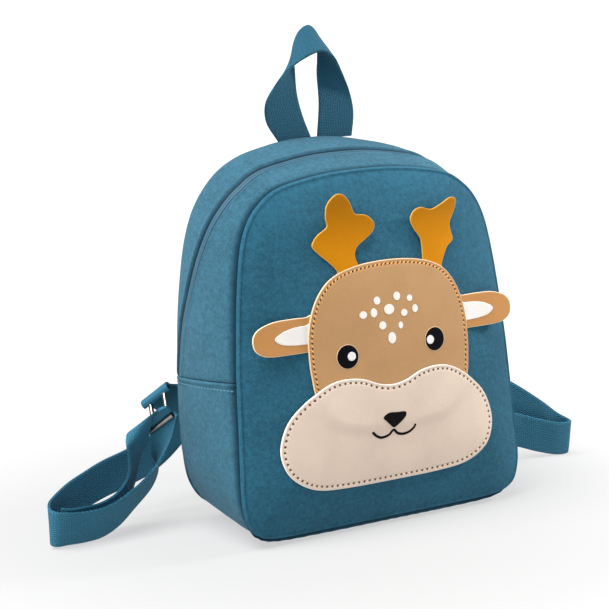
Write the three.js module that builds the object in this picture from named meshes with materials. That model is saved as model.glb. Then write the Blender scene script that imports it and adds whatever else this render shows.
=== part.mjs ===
// Toddler's backpack with an animal face on its front: a soft zipped body, a carrying loop at the top
// and two webbing shoulder straps that lie on the floor beside it.
// Millimetres. +Z is up, the face looks along -Y, and the floor is Z = 0.
import * as THREE from 'three';

// Body
const BODY_WIDTH = 214;
const BODY_DEPTH = 89;
const FRONT_HEIGHT = 229;
const BACK_HEIGHT = 243;
const SEAM_ABOVE_FLOOR = 3.5;
const FRONT_LEAN_DEGREES = 6.15;
const FRONT_BULGE = 19;
const SIDE_PUFF = 8;
const BACK_SHIFT = -4;
const CLOTH = 2;
const LEATHER = 1.5;
const PRINT = 0.8;
const GAP = 0.3;
const LAYER_GAP = 0.6;

// Zip
const ZIP_WIDTH = 6;
const ZIP_THICKNESS = 1.4;
const ZIP_DEPTH_LOW = 0.87;
const ZIP_DEPTH_HIGH = 0.345;
const SLIDER_LENGTH = 9;
const SLIDER_THICKNESS = 2.4;
const PULL_LENGTH = 20;

// Webbing
const STRAP_WIDTH = 25;
const STRAP_THICKNESS = 1.8;
const STRAP_REACH = 205;
const HANDLE_WIDTH = 27;
const HANDLE_RISE = 73.5;

// Square ring at the lower end of each strap
const RING_LENGTH = 31;
const RING_HEIGHT = 23.7;
const RING_WIRE = 3.2;
const RING_CORNER = 4.5;
const BAR_WIDTH = 24.2;

// Face
const HEAD_WIDTH = 126;
const MUZZLE_WIDTH = 167;
const EAR_LENGTH = 39.5;
const ANTLER_HEIGHT = 49;
const MOUTH_STROKE = 1.7;

const HALF_WIDTH = BODY_WIDTH / 2;
const BACK_PLANE = BODY_DEPTH / 2;
const LEAN = Math.tan(THREE.MathUtils.degToRad(FRONT_LEAN_DEGREES));
const { lerp, clamp } = THREE.MathUtils;

// Colours and finishes
const material = (color, roughness, metalness = 0) =>
  new THREE.MeshStandardMaterial({ color, roughness, metalness });
const bodyCloth = material(0x2b596e, 0.9);
const sideCloth = material(0x39687f, 0.9);
const webbing = material(0x2d5c74, 0.85);
const zipTape = material(0x234c5e, 0.6);
const chrome = material(0xd0d0cc, 0.15, 1);
const headLeather = material(0xb88f62, 0.55);
const muzzleLeather = material(0xdcc9b8, 0.5);
const antlerLeather = material(0xb47212, 0.55);
const earLeather = material(0xb78046, 0.55);
const whiteLeather = material(0xe6e1db, 0.5);
const black = material(0x0a0a0c, 0.35);

const part = new THREE.Group();

// Adds one named closed solid, turning its faces outward first.
function addSolid(name, finish, vertices, triangles) {
  const [a, b, c] = [new THREE.Vector3(), new THREE.Vector3(), new THREE.Vector3()];
  let volume = 0;
  for (const [i, j, k] of triangles) {
    volume += a.copy(vertices[i]).dot(b.copy(vertices[j]).cross(c.copy(vertices[k])));
  }
  const faces = volume < 0 ? triangles.map(([i, j, k]) => [i, k, j]) : triangles;
  const geometry = new THREE.BufferGeometry();
  geometry.setAttribute('position', new THREE.Float32BufferAttribute(vertices.flatMap((v) => v.toArray()), 3));
  geometry.setIndex(faces.flat());
  const mesh = new THREE.Mesh(geometry, finish);
  mesh.name = name;
  part.add(mesh);
  return mesh;
}

// Two triangles for each cell of a grid of vertex numbers; rows that close on themselves wrap round.
function gridFaces(rows, columns, vertex, wrapRows = false, wrapColumns = false) {
  const faces = [];
  for (let r = 0; r < rows - (wrapRows ? 0 : 1); r += 1) {
    for (let c = 0; c < columns - (wrapColumns ? 0 : 1); c += 1) {
      const [r2, c2] = [(r + 1) % rows, (c + 1) % columns];
      faces.push([vertex(r, c), vertex(r2, c), vertex(r2, c2)], [vertex(r, c), vertex(r2, c2), vertex(r, c2)]);
    }
  }
  return faces;
}

// A sheet between two faces given as grids of points, closed along its four edges.
function addSheet(name, finish, outer, inner) {
  const [rows, columns] = [outer.length, outer[0].length];
  const vertices = [...outer.flat(), ...inner.flat()];
  const front = (r, c) => r * columns + c;
  const back = (r, c) => rows * columns + front(r, c);
  const faces = [
    ...gridFaces(rows, columns, front),
    ...gridFaces(rows, columns, back).map(([i, j, k]) => [i, k, j]),
  ];
  for (let r = 0; r < rows - 1; r += 1) {
    faces.push([front(r, 0), back(r, 0), back(r + 1, 0)], [front(r, 0), back(r + 1, 0), front(r + 1, 0)]);
    const e = columns - 1;
    faces.push([front(r, e), back(r + 1, e), back(r, e)], [front(r, e), front(r + 1, e), back(r + 1, e)]);
  }
  for (let c = 0; c < columns - 1; c += 1) {
    faces.push([front(0, c), back(0, c + 1), back(0, c)], [front(0, c), front(0, c + 1), back(0, c + 1)]);
    const e = rows - 1;
    faces.push([front(e, c), back(e, c), back(e, c + 1)], [front(e, c), back(e, c + 1), front(e, c + 1)]);
  }
  return addSolid(name, finish, vertices, faces);
}

// A closed panel: rings of points from its rim to its middle, for the outer and the inner face.
function addPanel(name, finish, outerRings, innerRings, outerMiddle, innerMiddle) {
  const [rings, around] = [outerRings.length, outerRings[0].length];
  const vertices = [...outerRings.flat(), ...innerRings.flat(), outerMiddle, innerMiddle];
  const front = (r, c) => r * around + c;
  const back = (r, c) => rings * around + front(r, c);
  const [outerHub, innerHub] = [2 * rings * around, 2 * rings * around + 1];
  const faces = [
    ...gridFaces(rings, around, front, false, true),
    ...gridFaces(rings, around, back, false, true).map(([i, j, k]) => [i, k, j]),
  ];
  for (let c = 0; c < around; c += 1) {
    const n = (c + 1) % around;
    faces.push([front(rings - 1, c), outerHub, front(rings - 1, n)]);
    faces.push([back(rings - 1, c), back(rings - 1, n), innerHub]);
    faces.push([front(0, c), front(0, n), back(0, n)], [front(0, c), back(0, n), back(0, c)]);
  }
  return addSolid(name, finish, vertices, faces);
}

// Body outline, from the middle of the bottom to the middle of the top. Sides are shares of half the
// body's width, heights are shares of each panel's height, and puff is a share of the side puff.
const BODY_ROWS = [
  { frontSide: 0, frontUp: 0.0065, backSide: 0, backUp: 0, puff: 1.1 },
  { frontSide: 0.47, frontUp: 0.0065, backSide: 0.39, backUp: 0, puff: 1.1 },
  { frontSide: 0.82, frontUp: 0.009, backSide: 0.635, backUp: 0.008, puff: 0.6 },
  { frontSide: 0.955, frontUp: 0.027, backSide: 0.795, backUp: 0.037, puff: 0 },
  { frontSide: 1.01, frontUp: 0.06, backSide: 0.888, backUp: 0.09, puff: -0.1 },
  { frontSide: 1.036, frontUp: 0.12, backSide: 0.925, backUp: 0.15, puff: 0.4 },
  { frontSide: 1.03, frontUp: 0.21, backSide: 0.94, backUp: 0.23, puff: 0.9 },
  { frontSide: 1.02, frontUp: 0.3, backSide: 0.944, backUp: 0.32, puff: 1 },
  { frontSide: 1.005, frontUp: 0.448, backSide: 0.944, backUp: 0.397, puff: 1 },
  { frontSide: 0.989, frontUp: 0.54, backSide: 0.935, backUp: 0.54, puff: 1 },
  { frontSide: 0.965, frontUp: 0.65, backSide: 0.911, backUp: 0.65, puff: 1 },
  { frontSide: 0.935, frontUp: 0.75, backSide: 0.874, backUp: 0.75, puff: 1 },
  { frontSide: 0.897, frontUp: 0.83, backSide: 0.818, backUp: 0.83, puff: 0.9 },
  { frontSide: 0.836, frontUp: 0.89, backSide: 0.734, backUp: 0.89, puff: 0.8 },
  { frontSide: 0.757, frontUp: 0.93, backSide: 0.626, backUp: 0.935, puff: 0.8 },
  { frontSide: 0.636, frontUp: 0.965, backSide: 0.486, backUp: 0.965, puff: 0.8 },
  { frontSide: 0.449, frontUp: 0.985, backSide: 0.318, backUp: 0.985, puff: 0.7 },
  { frontSide: 0.224, frontUp: 0.997, backSide: 0.159, backUp: 0.997, puff: 0.7 },
  { frontSide: 0, frontUp: 1, backSide: 0, backUp: 1, puff: 0.7 },
];
const TOP_ROW = BODY_ROWS.length - 1;
const SEAM_ROW = 8;
const ROUND = 2 * TOP_ROW;
const ROW_STEP = 0.5;

// Points nearer than this are one point.
const SAME_POINT = 1e-6;

// Closed curve through the rows and their mirror images.
function closedRows(point) {
  const right = BODY_ROWS.map((row) => point(row, 1));
  const left = BODY_ROWS.slice(1, TOP_ROW).map((row) => point(row, -1)).reverse();
  return new THREE.CatmullRomCurve3([...right, ...left], true, 'catmullrom', 0.5);
}
const frontCurve = closedRows((row, side) => new THREE.Vector3(
  side * row.frontSide * HALF_WIDTH, row.puff, SEAM_ABOVE_FLOOR + row.frontUp * FRONT_HEIGHT));
const backCurve = closedRows((row, side) => new THREE.Vector3(
  BACK_SHIFT + side * row.backSide * HALF_WIDTH, row.puff, SEAM_ABOVE_FLOOR + row.backUp * BACK_HEIGHT));
const onCurve = (curve, row) => curve.getPoint((((row % ROUND) + ROUND) % ROUND) / ROUND);

// Depth of the leaning plane that holds the front seam.
const frontPlane = (z) => -BODY_DEPTH / 2 + z * LEAN;

// The sides stand out most behind their middle. The crest is the highest value of the curve that they follow.
const PUFF_SKEW = 0.6;
const PUFF_CREST = (1 / (1 + PUFF_SKEW)) * (PUFF_SKEW / (1 + PUFF_SKEW)) ** PUFF_SKEW;

// A point of the body's outer face at a row of the outline and a depth, and the way out of the cloth.
function gussetPoint(row, y) {
  const [f, b] = [onCurve(frontCurve, row), onCurve(backCurve, row)];
  const start = frontPlane(f.z) + CLOTH;
  const share = clamp((y - start) / (BACK_PLANE - CLOTH - start), 0, 1);
  const ahead = onCurve(frontCurve, row + 0.1).lerp(onCurve(backCurve, row + 0.1), share);
  const point = f.clone().lerp(b, share);
  const out = new THREE.Vector3(ahead.z - point.z, 0, point.x - ahead.x).normalize();
  const puff = (SIDE_PUFF * point.y * share * (1 - share) ** PUFF_SKEW) / PUFF_CREST;
  const face = new THREE.Vector3(point.x, y, point.z).addScaledVector(out, puff);
  face.z = Math.max(face.z, 0);
  return { face, out };
}

// Rows between two places of the outline, evenly spaced.
function rowsBetween(first, last) {
  const count = Math.round((last - first) / ROW_STEP);
  return Array.from({ length: count + 1 }, (_, i) => lerp(first, last, i / count));
}

// A strip of the body's wall over a run of rows, between two depths given for each row.
function addGusset(name, finish, rows, depths, steps, sink, thickness) {
  const grid = (inset) => rows.map((row) => {
    const [near, far] = depths(row);
    return Array.from({ length: steps + 1 }, (_, i) => {
      const { face, out } = gussetPoint(row, lerp(near, far, i / steps));
      return face.addScaledVector(out, -inset);
    });
  });
  return addSheet(name, finish, grid(sink), grid(sink + thickness));
}

const SHOULDER_ROW = SEAM_ROW + 6;
const nearEdge = (row) => frontPlane(onCurve(frontCurve, row).z) + CLOTH + GAP;
const farEdge = BACK_PLANE - CLOTH - GAP;
const seamHeight = onCurve(frontCurve, SEAM_ROW).z;
const shoulderHeight = onCurve(frontCurve, SHOULDER_ROW).z;

// The zip lies near the back at its ends and moves forward over the shoulders.
function zipLine(row) {
  const z = onCurve(frontCurve, row).z;
  const rise = clamp((z - seamHeight) / (shoulderHeight - seamHeight), 0, 1);
  return lerp(nearEdge(row), farEdge, lerp(ZIP_DEPTH_LOW, ZIP_DEPTH_HIGH, rise));
}

// Share of a row that the lower and upper side bands stay clear of their shared seam.
const END_GAP = 0.012;
const lowerRows = rowsBetween(-SEAM_ROW + END_GAP, SEAM_ROW - END_GAP);
const upperRows = rowsBetween(SEAM_ROW + END_GAP, ROUND - SEAM_ROW - END_GAP);
const zipHalf = ZIP_WIDTH / 2;
addGusset('gusset_lower', sideCloth, lowerRows, (row) => [nearEdge(row), farEdge], 6, 0, CLOTH);
addGusset('gusset_upper_front', bodyCloth, upperRows,
  (row) => [nearEdge(row), zipLine(row) - zipHalf - GAP], 4, 0, CLOTH);
addGusset('gusset_upper_back', sideCloth, upperRows,
  (row) => [zipLine(row) + zipHalf + GAP, farEdge], 3, 0, CLOTH);
addGusset('zip_tape', zipTape, upperRows,
  (row) => [zipLine(row) - zipHalf, zipLine(row) + zipHalf], 2, LAYER_GAP, ZIP_THICKNESS);

// Front panel: how far it stands out is worked out from the way from its middle to the seam.
const PANEL_MIDDLE = { x: 0, z: SEAM_ABOVE_FLOOR + FRONT_HEIGHT / 2 };
const seamRing = rowsBetween(0, ROUND - ROW_STEP).map((row) => onCurve(frontCurve, row));

// Share of the way from the panel's middle to the seam, 0 at the middle and 1 on the seam.
function rimShare(x, z) {
  const [dx, dz] = [x - PANEL_MIDDLE.x, z - PANEL_MIDDLE.z];
  let reach = Infinity;
  for (let i = 0; i < seamRing.length; i += 1) {
    const [p, q] = [seamRing[i], seamRing[(i + 1) % seamRing.length]];
    const [px, pz] = [p.x - PANEL_MIDDLE.x, p.z - PANEL_MIDDLE.z];
    const [ex, ez] = [q.x - p.x, q.z - p.z];
    const cross = dx * ez - dz * ex;
    const along = (px * ez - pz * ex) / cross;
    const across = (px * dz - pz * dx) / cross;
    if (along > 0 && across >= 0 && across <= 1) {
      reach = Math.min(reach, along);
    }
  }
  return reach === Infinity ? 0 : 1 / reach;
}
const BULGE_ROUNDNESS = 2.6;
const BULGE_FULLNESS = 0.8;
const bulge = (share) =>
  FRONT_BULGE * Math.max(0, 1 - clamp(share, 0, 1) ** BULGE_ROUNDNESS) ** BULGE_FULLNESS;
const panelFace = (x, z) => frontPlane(z) - bulge(rimShare(x, z));

const PANEL_SHARES = [1, 0.97, 0.9, 0.78, 0.62, 0.42, 0.22];
function panelRings(inset) {
  return PANEL_SHARES.map((share) => seamRing.map((rim) => {
    const x = lerp(PANEL_MIDDLE.x, rim.x, share);
    const z = lerp(PANEL_MIDDLE.z, rim.z, share);
    return new THREE.Vector3(x, frontPlane(z) - bulge(share) + inset, z);
  }));
}
const panelMiddle = (inset) => new THREE.Vector3(
  PANEL_MIDDLE.x, frontPlane(PANEL_MIDDLE.z) - FRONT_BULGE + inset, PANEL_MIDDLE.z);
addPanel('front_panel', bodyCloth, panelRings(0), panelRings(CLOTH), panelMiddle(0), panelMiddle(CLOTH));

// Back panel: flat cloth inside the back seam.
const backRing = rowsBetween(0, ROUND - ROW_STEP).map((row) => onCurve(backCurve, row));
const backShape = new THREE.Shape(backRing.map((p) => new THREE.Vector2(p.x, p.z)));
addFlat('back_panel', bodyCloth, backShape, CLOTH, (x, z, depth) => new THREE.Vector3(x, BACK_PLANE - depth, z));

// A flat outline with a thickness, laid into the part by a placing function.
function addFlat(name, finish, shape, thickness, place) {
  const { shape: rim } = shape.extractPoints(1);
  const open = rim[0].distanceTo(rim[rim.length - 1]) < SAME_POINT ? rim.slice(0, -1) : rim.slice();
  if (THREE.ShapeUtils.isClockWise(open)) {
    open.reverse();
  }
  const cells = THREE.ShapeUtils.triangulateShape(open, []);
  const count = open.length;
  const vertices = [
    ...open.map((p) => place(p.x, p.y, 0)),
    ...open.map((p) => place(p.x, p.y, thickness)),
  ];
  const faces = cells.flatMap(([i, j, k]) => [[i, j, k], [i + count, k + count, j + count]]);
  for (let i = 0; i < count; i += 1) {
    const n = (i + 1) % count;
    faces.push([i, i + count, n + count], [i, n + count, n]);
  }
  return addSolid(name, finish, vertices, faces);
}

// A patch that follows the front panel at a lift above it, from an outline round its middle.
function addPatch(name, finish, ring, middle, lift, thickness, ringShares) {
  const raise = (p, height) => new THREE.Vector3(p.x, panelFace(p.x, p.y) - height, p.y);
  const rings = (height) => ringShares.map((share) =>
    ring.map((p) => raise(middle.clone().lerp(p, share), height)));
  return addPanel(name, finish, rings(lift + thickness), rings(lift),
    raise(middle, lift + thickness), raise(middle, lift));
}

// Smooth closed outline through points given in the plane of the face.
function smoothOutline(points, count) {
  const curve = new THREE.CatmullRomCurve3(points.map(([x, z]) => new THREE.Vector3(x, 0, z)), true, 'catmullrom', 0.5);
  return Array.from({ length: count }, (_, i) => {
    const p = curve.getPoint(i / count);
    return new THREE.Vector2(p.x, p.z);
  });
}
const mirrored = (half) => [...half, ...half.slice(1, -1).map(([x, z]) => [-x, z]).reverse()];

// Head: half outline from its top round to its bottom, in shares of half its width.
const HEAD_HALF = HEAD_WIDTH / 2;
const HEAD_HEIGHT = 122;
const HEAD_ROWS = [
  { side: 0, up: 0.85 },
  { side: 0.33, up: 0.83 },
  { side: 0.6, up: 0.765 },
  { side: 0.78, up: 0.65 },
  { side: 0.91, up: 0.46 },
  { side: 0.985, up: 0.22 },
  { side: 1, up: 0 },
  { side: 0.99, up: -0.22 },
  { side: 0.93, up: -0.5 },
  { side: 0.7, up: -0.72 },
  { side: 0.35, up: -0.8 },
  { side: 0, up: -0.82 },
];
const headLift = LAYER_GAP;
const headMiddle = new THREE.Vector2(0, HEAD_HEIGHT);
const headRing = smoothOutline(
  mirrored(HEAD_ROWS.map((row) => [row.side * HEAD_HALF, HEAD_HEIGHT + row.up * HEAD_HALF])), 44);
addPatch('head_patch', headLeather, headRing, headMiddle, headLift, LEATHER, [1, 0.75, 0.5, 0.25]);

// Muzzle: half outline from the dip at its top round to the middle of its bottom.
const MUZZLE_HALF = MUZZLE_WIDTH / 2;
const MUZZLE_HEIGHT = 67;
const MUZZLE_SHIFT = -3.4;
const MUZZLE_ROWS = [
  { side: 0, up: 0.35 },
  { side: 0.13, up: 0.37 },
  { side: 0.28, up: 0.425 },
  { side: 0.45, up: 0.44 },
  { side: 0.6, up: 0.405 },
  { side: 0.78, up: 0.295 },
  { side: 0.93, up: 0.15 },
  { side: 1, up: -0.04 },
  { side: 0.97, up: -0.2 },
  { side: 0.87, up: -0.31 },
  { side: 0.7, up: -0.385 },
  { side: 0.45, up: -0.41 },
  { side: 0, up: -0.415 },
];
const muzzleLift = headLift + LEATHER + LAYER_GAP;
const muzzleMiddle = new THREE.Vector2(MUZZLE_SHIFT, MUZZLE_HEIGHT);
const muzzleRing = smoothOutline(
  mirrored(MUZZLE_ROWS.map((row) => [row.side * MUZZLE_HALF, MUZZLE_HEIGHT + row.up * MUZZLE_HALF])), 48)
  .map((p) => p.setX(p.x + MUZZLE_SHIFT));
addPatch('muzzle_patch', muzzleLeather, muzzleRing, muzzleMiddle, muzzleLift, LEATHER, [1, 0.8, 0.55, 0.3]);

// Small round pieces on the face.
const printLift = headLift + LEATHER + LAYER_GAP;
function addOval(name, finish, x, z, wide, tall, lift, sides) {
  const ring = Array.from({ length: sides }, (_, i) => {
    const turn = (2 * Math.PI * i) / sides;
    return new THREE.Vector2(x + (wide / 2) * Math.cos(turn), z + (tall / 2) * Math.sin(turn));
  });
  return addPatch(name, finish, ring, new THREE.Vector2(x, z), lift, PRINT, [1]);
}

// Sides and heights in shares of half the head's width, counted from the head's middle.
const EYES = [
  { name: 'left', side: -0.572, up: -0.067, shine: 0.045 },
  { name: 'right', side: 0.527, up: -0.02, shine: -0.06 },
];
const EYE = { wide: 0.262, tall: 0.252 };
const GLINT = { wide: 0.1, tall: 0.094 };
for (const eye of EYES) {
  const [x, z] = [eye.side * HEAD_HALF, HEAD_HEIGHT + eye.up * HEAD_HALF];
  addOval(`eye_${eye.name}`, black, x, z, EYE.wide * HEAD_HALF, EYE.tall * HEAD_HALF, printLift, 20);
  addOval(`glint_${eye.name}`, whiteLeather, x + eye.shine * HEAD_HALF, z, GLINT.wide * HEAD_HALF,
    GLINT.tall * HEAD_HALF, printLift + PRINT + GAP, 10);
}
const SPOTS = [
  { side: -0.025, up: 0.352, wide: 0.132, tall: 0.11 },
  { side: -0.165, up: 0.455, wide: 0.086, tall: 0.087 },
  { side: 0.086, up: 0.475, wide: 0.09, tall: 0.092 },
  { side: 0.244, up: 0.438, wide: 0.075, tall: 0.071 },
  { side: 0.302, up: 0.324, wide: 0.075, tall: 0.087 },
  { side: 0.16, up: 0.297, wide: 0.086, tall: 0.076 },
  { side: -0.349, up: 0.33, wide: 0.097, tall: 0.08 },
  { side: -0.217, up: 0.337, wide: 0.086, tall: 0.097 },
  { side: -0.121, up: 0.198, wide: 0.095, tall: 0.087 },
  { side: 0.103, up: 0.175, wide: 0.062, tall: 0.078 },
  { side: -0.017, up: 0.059, wide: 0.102, tall: 0.122 },
];
SPOTS.forEach((spot, i) => addOval(`spot_${i + 1}`, whiteLeather, spot.side * HEAD_HALF,
  HEAD_HEIGHT + spot.up * HEAD_HALF, spot.wide * HEAD_HALF, spot.tall * HEAD_HALF, printLift, 12));

// Nose and mouth on the muzzle, in shares of half its width.
const faceLift = muzzleLift + LEATHER + LAYER_GAP;
const onMuzzle = (row) => [MUZZLE_SHIFT + row.side * MUZZLE_HALF, MUZZLE_HEIGHT + row.up * MUZZLE_HALF];
const NOSE_ROWS = [
  { side: -0.012, up: 0.012 },
  { side: -0.045, up: 0.034 },
  { side: -0.085, up: 0.072 },
  { side: -0.112, up: 0.104 },
  { side: -0.06, up: 0.134 },
  { side: 0.02, up: 0.13 },
  { side: 0.095, up: 0.124 },
  { side: 0.103, up: 0.094 },
  { side: 0.07, up: 0.062 },
  { side: 0.025, up: 0.03 },
];
const noseRing = smoothOutline(NOSE_ROWS.map(onMuzzle), 16);
addPatch('nose', black, noseRing, new THREE.Vector2(...onMuzzle({ side: 0, up: 0.09 })), faceLift, PRINT, [1]);
const MOUTH_ROWS = [
  { side: -0.213, up: 0.002 },
  { side: -0.17, up: -0.036 },
  { side: -0.12, up: -0.054 },
  { side: -0.055, up: -0.042 },
  { side: -0.014, up: -0.008 },
  { side: 0.027, up: -0.04 },
  { side: 0.08, up: -0.054 },
  { side: 0.135, up: -0.046 },
  { side: 0.178, up: -0.022 },
  { side: 0.198, up: 0.01 },
];
const mouthCurve = new THREE.CatmullRomCurve3(
  MOUTH_ROWS.map(onMuzzle).map(([x, z]) => new THREE.Vector3(x, 0, z)), false, 'catmullrom', 0.5);
const mouthSteps = 24;
function mouthGrid(lift) {
  return Array.from({ length: mouthSteps + 1 }, (_, i) => {
    const [p, t] = [mouthCurve.getPoint(i / mouthSteps), mouthCurve.getTangent(i / mouthSteps)];
    return [-MOUTH_STROKE / 2, MOUTH_STROKE / 2].map((offset) => {
      const [x, z] = [p.x - t.z * offset, p.z + t.x * offset];
      return new THREE.Vector3(x, panelFace(x, z) - lift, z);
    });
  });
}
addSheet('mouth', black, mouthGrid(faceLift + PRINT), mouthGrid(faceLift));

// Ears and antlers: stiff flaps that stand straight out from the head's edge, while the panel curves away.
const flapPlane = (x, z) => bulge(rimShare(x, z)) + headLift;
function addFlap(name, finish, ring, stand, thickness) {
  const shape = new THREE.Shape(ring);
  return addFlat(name, finish, shape, thickness,
    (x, z, depth) => new THREE.Vector3(x, frontPlane(z) - stand - thickness + depth, z));
}
const EAR_ROOT = HEAD_HALF + 2 * GAP;
const EAR_HEIGHT = 134.3;
const EAR_ROWS = [
  { out: 0, up: 0.28 },
  { out: 0.3, up: 0.285 },
  { out: 0.6, up: 0.27 },
  { out: 0.85, up: 0.2 },
  { out: 0.97, up: 0.1 },
  { out: 1, up: -0.02 },
  { out: 0.97, up: -0.14 },
  { out: 0.86, up: -0.23 },
  { out: 0.68, up: -0.27 },
  { out: 0.35, up: -0.277 },
  { out: 0, up: -0.275 },
];
const EAR_INNER_ROWS = [
  { out: 0.02, up: 0.155 },
  { out: 0.25, up: 0.14 },
  { out: 0.46, up: 0.09 },
  { out: 0.6, up: 0 },
  { out: 0.5, up: -0.09 },
  { out: 0.3, up: -0.13 },
  { out: 0.02, up: -0.145 },
];
const earStand = flapPlane(HEAD_HALF, EAR_HEIGHT);
const earPoint = (side, row) =>
  new THREE.Vector2(side * (EAR_ROOT + row.out * EAR_LENGTH), EAR_HEIGHT + row.up * EAR_LENGTH);
for (const [name, side] of [['left', -1], ['right', 1]]) {
  addFlap(`ear_${name}`, earLeather, EAR_ROWS.map((row) => earPoint(side, row)), earStand, LEATHER);
  addFlap(`ear_inner_${name}`, whiteLeather, EAR_INNER_ROWS.map((row) => earPoint(side, row)),
    earStand + LEATHER + GAP, PRINT);
}

// Antlers, from the inner side of the root over the tips to the outer side of the root. Shares of their
// height, counted from the middle of the root; the right one leans further out.
const ANTLERS = [
  {
    name: 'left', side: -1, root: 27.8, rows: [
      { out: -0.16, up: 0.065 }, { out: -0.1, up: 0.17 }, { out: -0.15, up: 0.29 }, { out: -0.28, up: 0.37 },
      { out: -0.41, up: 0.47 }, { out: -0.43, up: 0.58 }, { out: -0.32, up: 0.68 }, { out: -0.14, up: 0.72 },
      { out: -0.07, up: 0.87 }, { out: 0.03, up: 0.98 }, { out: 0.15, up: 0.98 }, { out: 0.28, up: 0.86 },
      { out: 0.31, up: 0.7 }, { out: 0.3, up: 0.58 }, { out: 0.45, up: 0.48 }, { out: 0.53, up: 0.35 },
      { out: 0.42, up: 0.22 }, { out: 0.3, up: 0.12 }, { out: 0.19, up: -0.01 },
    ],
  },
  {
    name: 'right', side: 1, root: 37.8, rows: [
      { out: -0.15, up: 0.03 }, { out: -0.15, up: 0.18 }, { out: -0.17, up: 0.3 }, { out: -0.27, up: 0.44 },
      { out: -0.31, up: 0.56 }, { out: -0.25, up: 0.66 }, { out: -0.13, up: 0.7 }, { out: 0.05, up: 0.66 },
      { out: 0.22, up: 0.71 }, { out: 0.4, up: 0.78 }, { out: 0.5, up: 0.75 }, { out: 0.47, up: 0.62 },
      { out: 0.37, up: 0.46 }, { out: 0.37, up: 0.36 }, { out: 0.4, up: 0.22 }, { out: 0.28, up: 0.12 },
      { out: 0.17, up: -0.085 },
    ],
  },
];
const ANTLER_ROOT_HEIGHT = 172;
const ANTLER_TUCK = 1.8;
for (const antler of ANTLERS) {
  const points = antler.rows.map((row) => new THREE.Vector2(
    antler.side * (antler.root + row.out * ANTLER_HEIGHT), ANTLER_ROOT_HEIGHT + row.up * ANTLER_HEIGHT));
  const stand = flapPlane(antler.root, ANTLER_ROOT_HEIGHT - ANTLER_TUCK);
  addFlap(`antler_${antler.name}`, antlerLeather, points, stand, LEATHER);
}

// A webbing band between two edge lines, with its thickness across them.
function addBand(name, finish, edges, thickness, stepsPerSpan) {
  const lines = ['near', 'far'].map((edge) =>
    new THREE.CatmullRomCurve3(edges.map((e) => e[edge]), false, 'centripetal'));
  const count = (edges.length - 1) * stepsPerSpan;
  const outer = [];
  const inner = [];
  for (let i = 0; i <= count; i += 1) {
    const share = i / count;
    const [near, far] = lines.map((line) => line.getPoint(share));
    const along = lines[0].getTangent(share).add(lines[1].getTangent(share)).normalize();
    const across = far.clone().sub(near).normalize();
    const normal = along.cross(across).normalize().multiplyScalar(thickness / 2);
    outer.push([near.clone().add(normal), far.clone().add(normal)]);
    inner.push([near.clone().sub(normal), far.clone().sub(normal)]);
  }
  return addSheet(name, finish, outer, inner);
}

// Carrying loop: its legs stand side by side in the back seam, and it twists so that their outer edges
// become the front edge of its crown. Sides and depths in shares of its width, heights of its rise.
const HANDLE_ROWS = [
  { outerSide: -0.9, outerBack: 0, outerUp: 0, innerSide: 0.08, innerBack: 0, innerUp: 0 },
  { outerSide: -1.28, outerBack: -0.04, outerUp: 0.18, innerSide: -0.14, innerBack: 0.04, innerUp: 0.18 },
  { outerSide: -1.33, outerBack: -0.11, outerUp: 0.34, innerSide: -0.26, innerBack: 0.11, innerUp: 0.38 },
  { outerSide: -1.09, outerBack: -0.22, outerUp: 0.5, innerSide: -0.22, innerBack: 0.26, innerUp: 0.6 },
  { outerSide: -0.68, outerBack: -0.33, outerUp: 0.66, innerSide: -0.17, innerBack: 0.37, innerUp: 0.8 },
  { outerSide: -0.19, outerBack: -0.4, outerUp: 0.755, innerSide: 0.04, innerBack: 0.43, innerUp: 0.95 },
  { outerSide: 0.22, outerBack: -0.37, outerUp: 0.78, innerSide: 0.33, innerBack: 0.44, innerUp: 1 },
  { outerSide: 0.56, outerBack: -0.3, outerUp: 0.72, innerSide: 0.54, innerBack: 0.43, innerUp: 0.93 },
  { outerSide: 0.89, outerBack: -0.19, outerUp: 0.57, innerSide: 0.54, innerBack: 0.37, innerUp: 0.77 },
  { outerSide: 1.19, outerBack: -0.07, outerUp: 0.4, innerSide: 0.41, innerBack: 0.22, innerUp: 0.57 },
  { outerSide: 1.33, outerBack: -0.02, outerUp: 0.2, innerSide: 0.35, innerBack: 0.06, innerUp: 0.3 },
  { outerSide: 1.28, outerBack: 0, outerUp: 0, innerSide: 0.24, innerBack: 0, innerUp: 0 },
];
const handleDepth = farEdge - STRAP_THICKNESS / 2;
const handleFoot = gussetPoint(TOP_ROW, farEdge).face.z + LAYER_GAP + GAP;
const handlePoint = (side, back, up) => new THREE.Vector3(
  side * HANDLE_WIDTH, handleDepth + back * HANDLE_WIDTH, handleFoot + up * HANDLE_RISE);
addBand('handle', webbing, HANDLE_ROWS.map((row) => ({
  near: handlePoint(row.outerSide, row.outerBack, row.outerUp),
  far: handlePoint(row.innerSide, row.innerBack, row.innerUp),
})), STRAP_THICKNESS, 3);

// Zip slider with its pull hanging below it, parked at the right-hand end of the zip.
const PULL_WIDTH = 5;
const SLIDER_WIDTH = 8;
const ROW_SPACING = 25;
const SLIDER_ROW = 9.6;
const SLIDER_SHOULDER = 0.02;
const sliderEnd = SLIDER_ROW + SLIDER_LENGTH / ROW_SPACING;
const pullEnd = SLIDER_ROW - PULL_LENGTH / ROW_SPACING;
const sliderRows = [...[0, 0.25, 0.5, 0.75, 1].map((share) => lerp(pullEnd, SLIDER_ROW, share)),
  SLIDER_ROW + SLIDER_SHOULDER, lerp(SLIDER_ROW, sliderEnd, 0.5), sliderEnd];
addGusset('zip_slider', chrome, sliderRows, (row) => {
  const half = (row > SLIDER_ROW ? SLIDER_WIDTH : PULL_WIDTH) / 2;
  return [zipLine(row) - half, zipLine(row) + half];
}, 2, -GAP - SLIDER_THICKNESS, SLIDER_THICKNESS);

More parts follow.
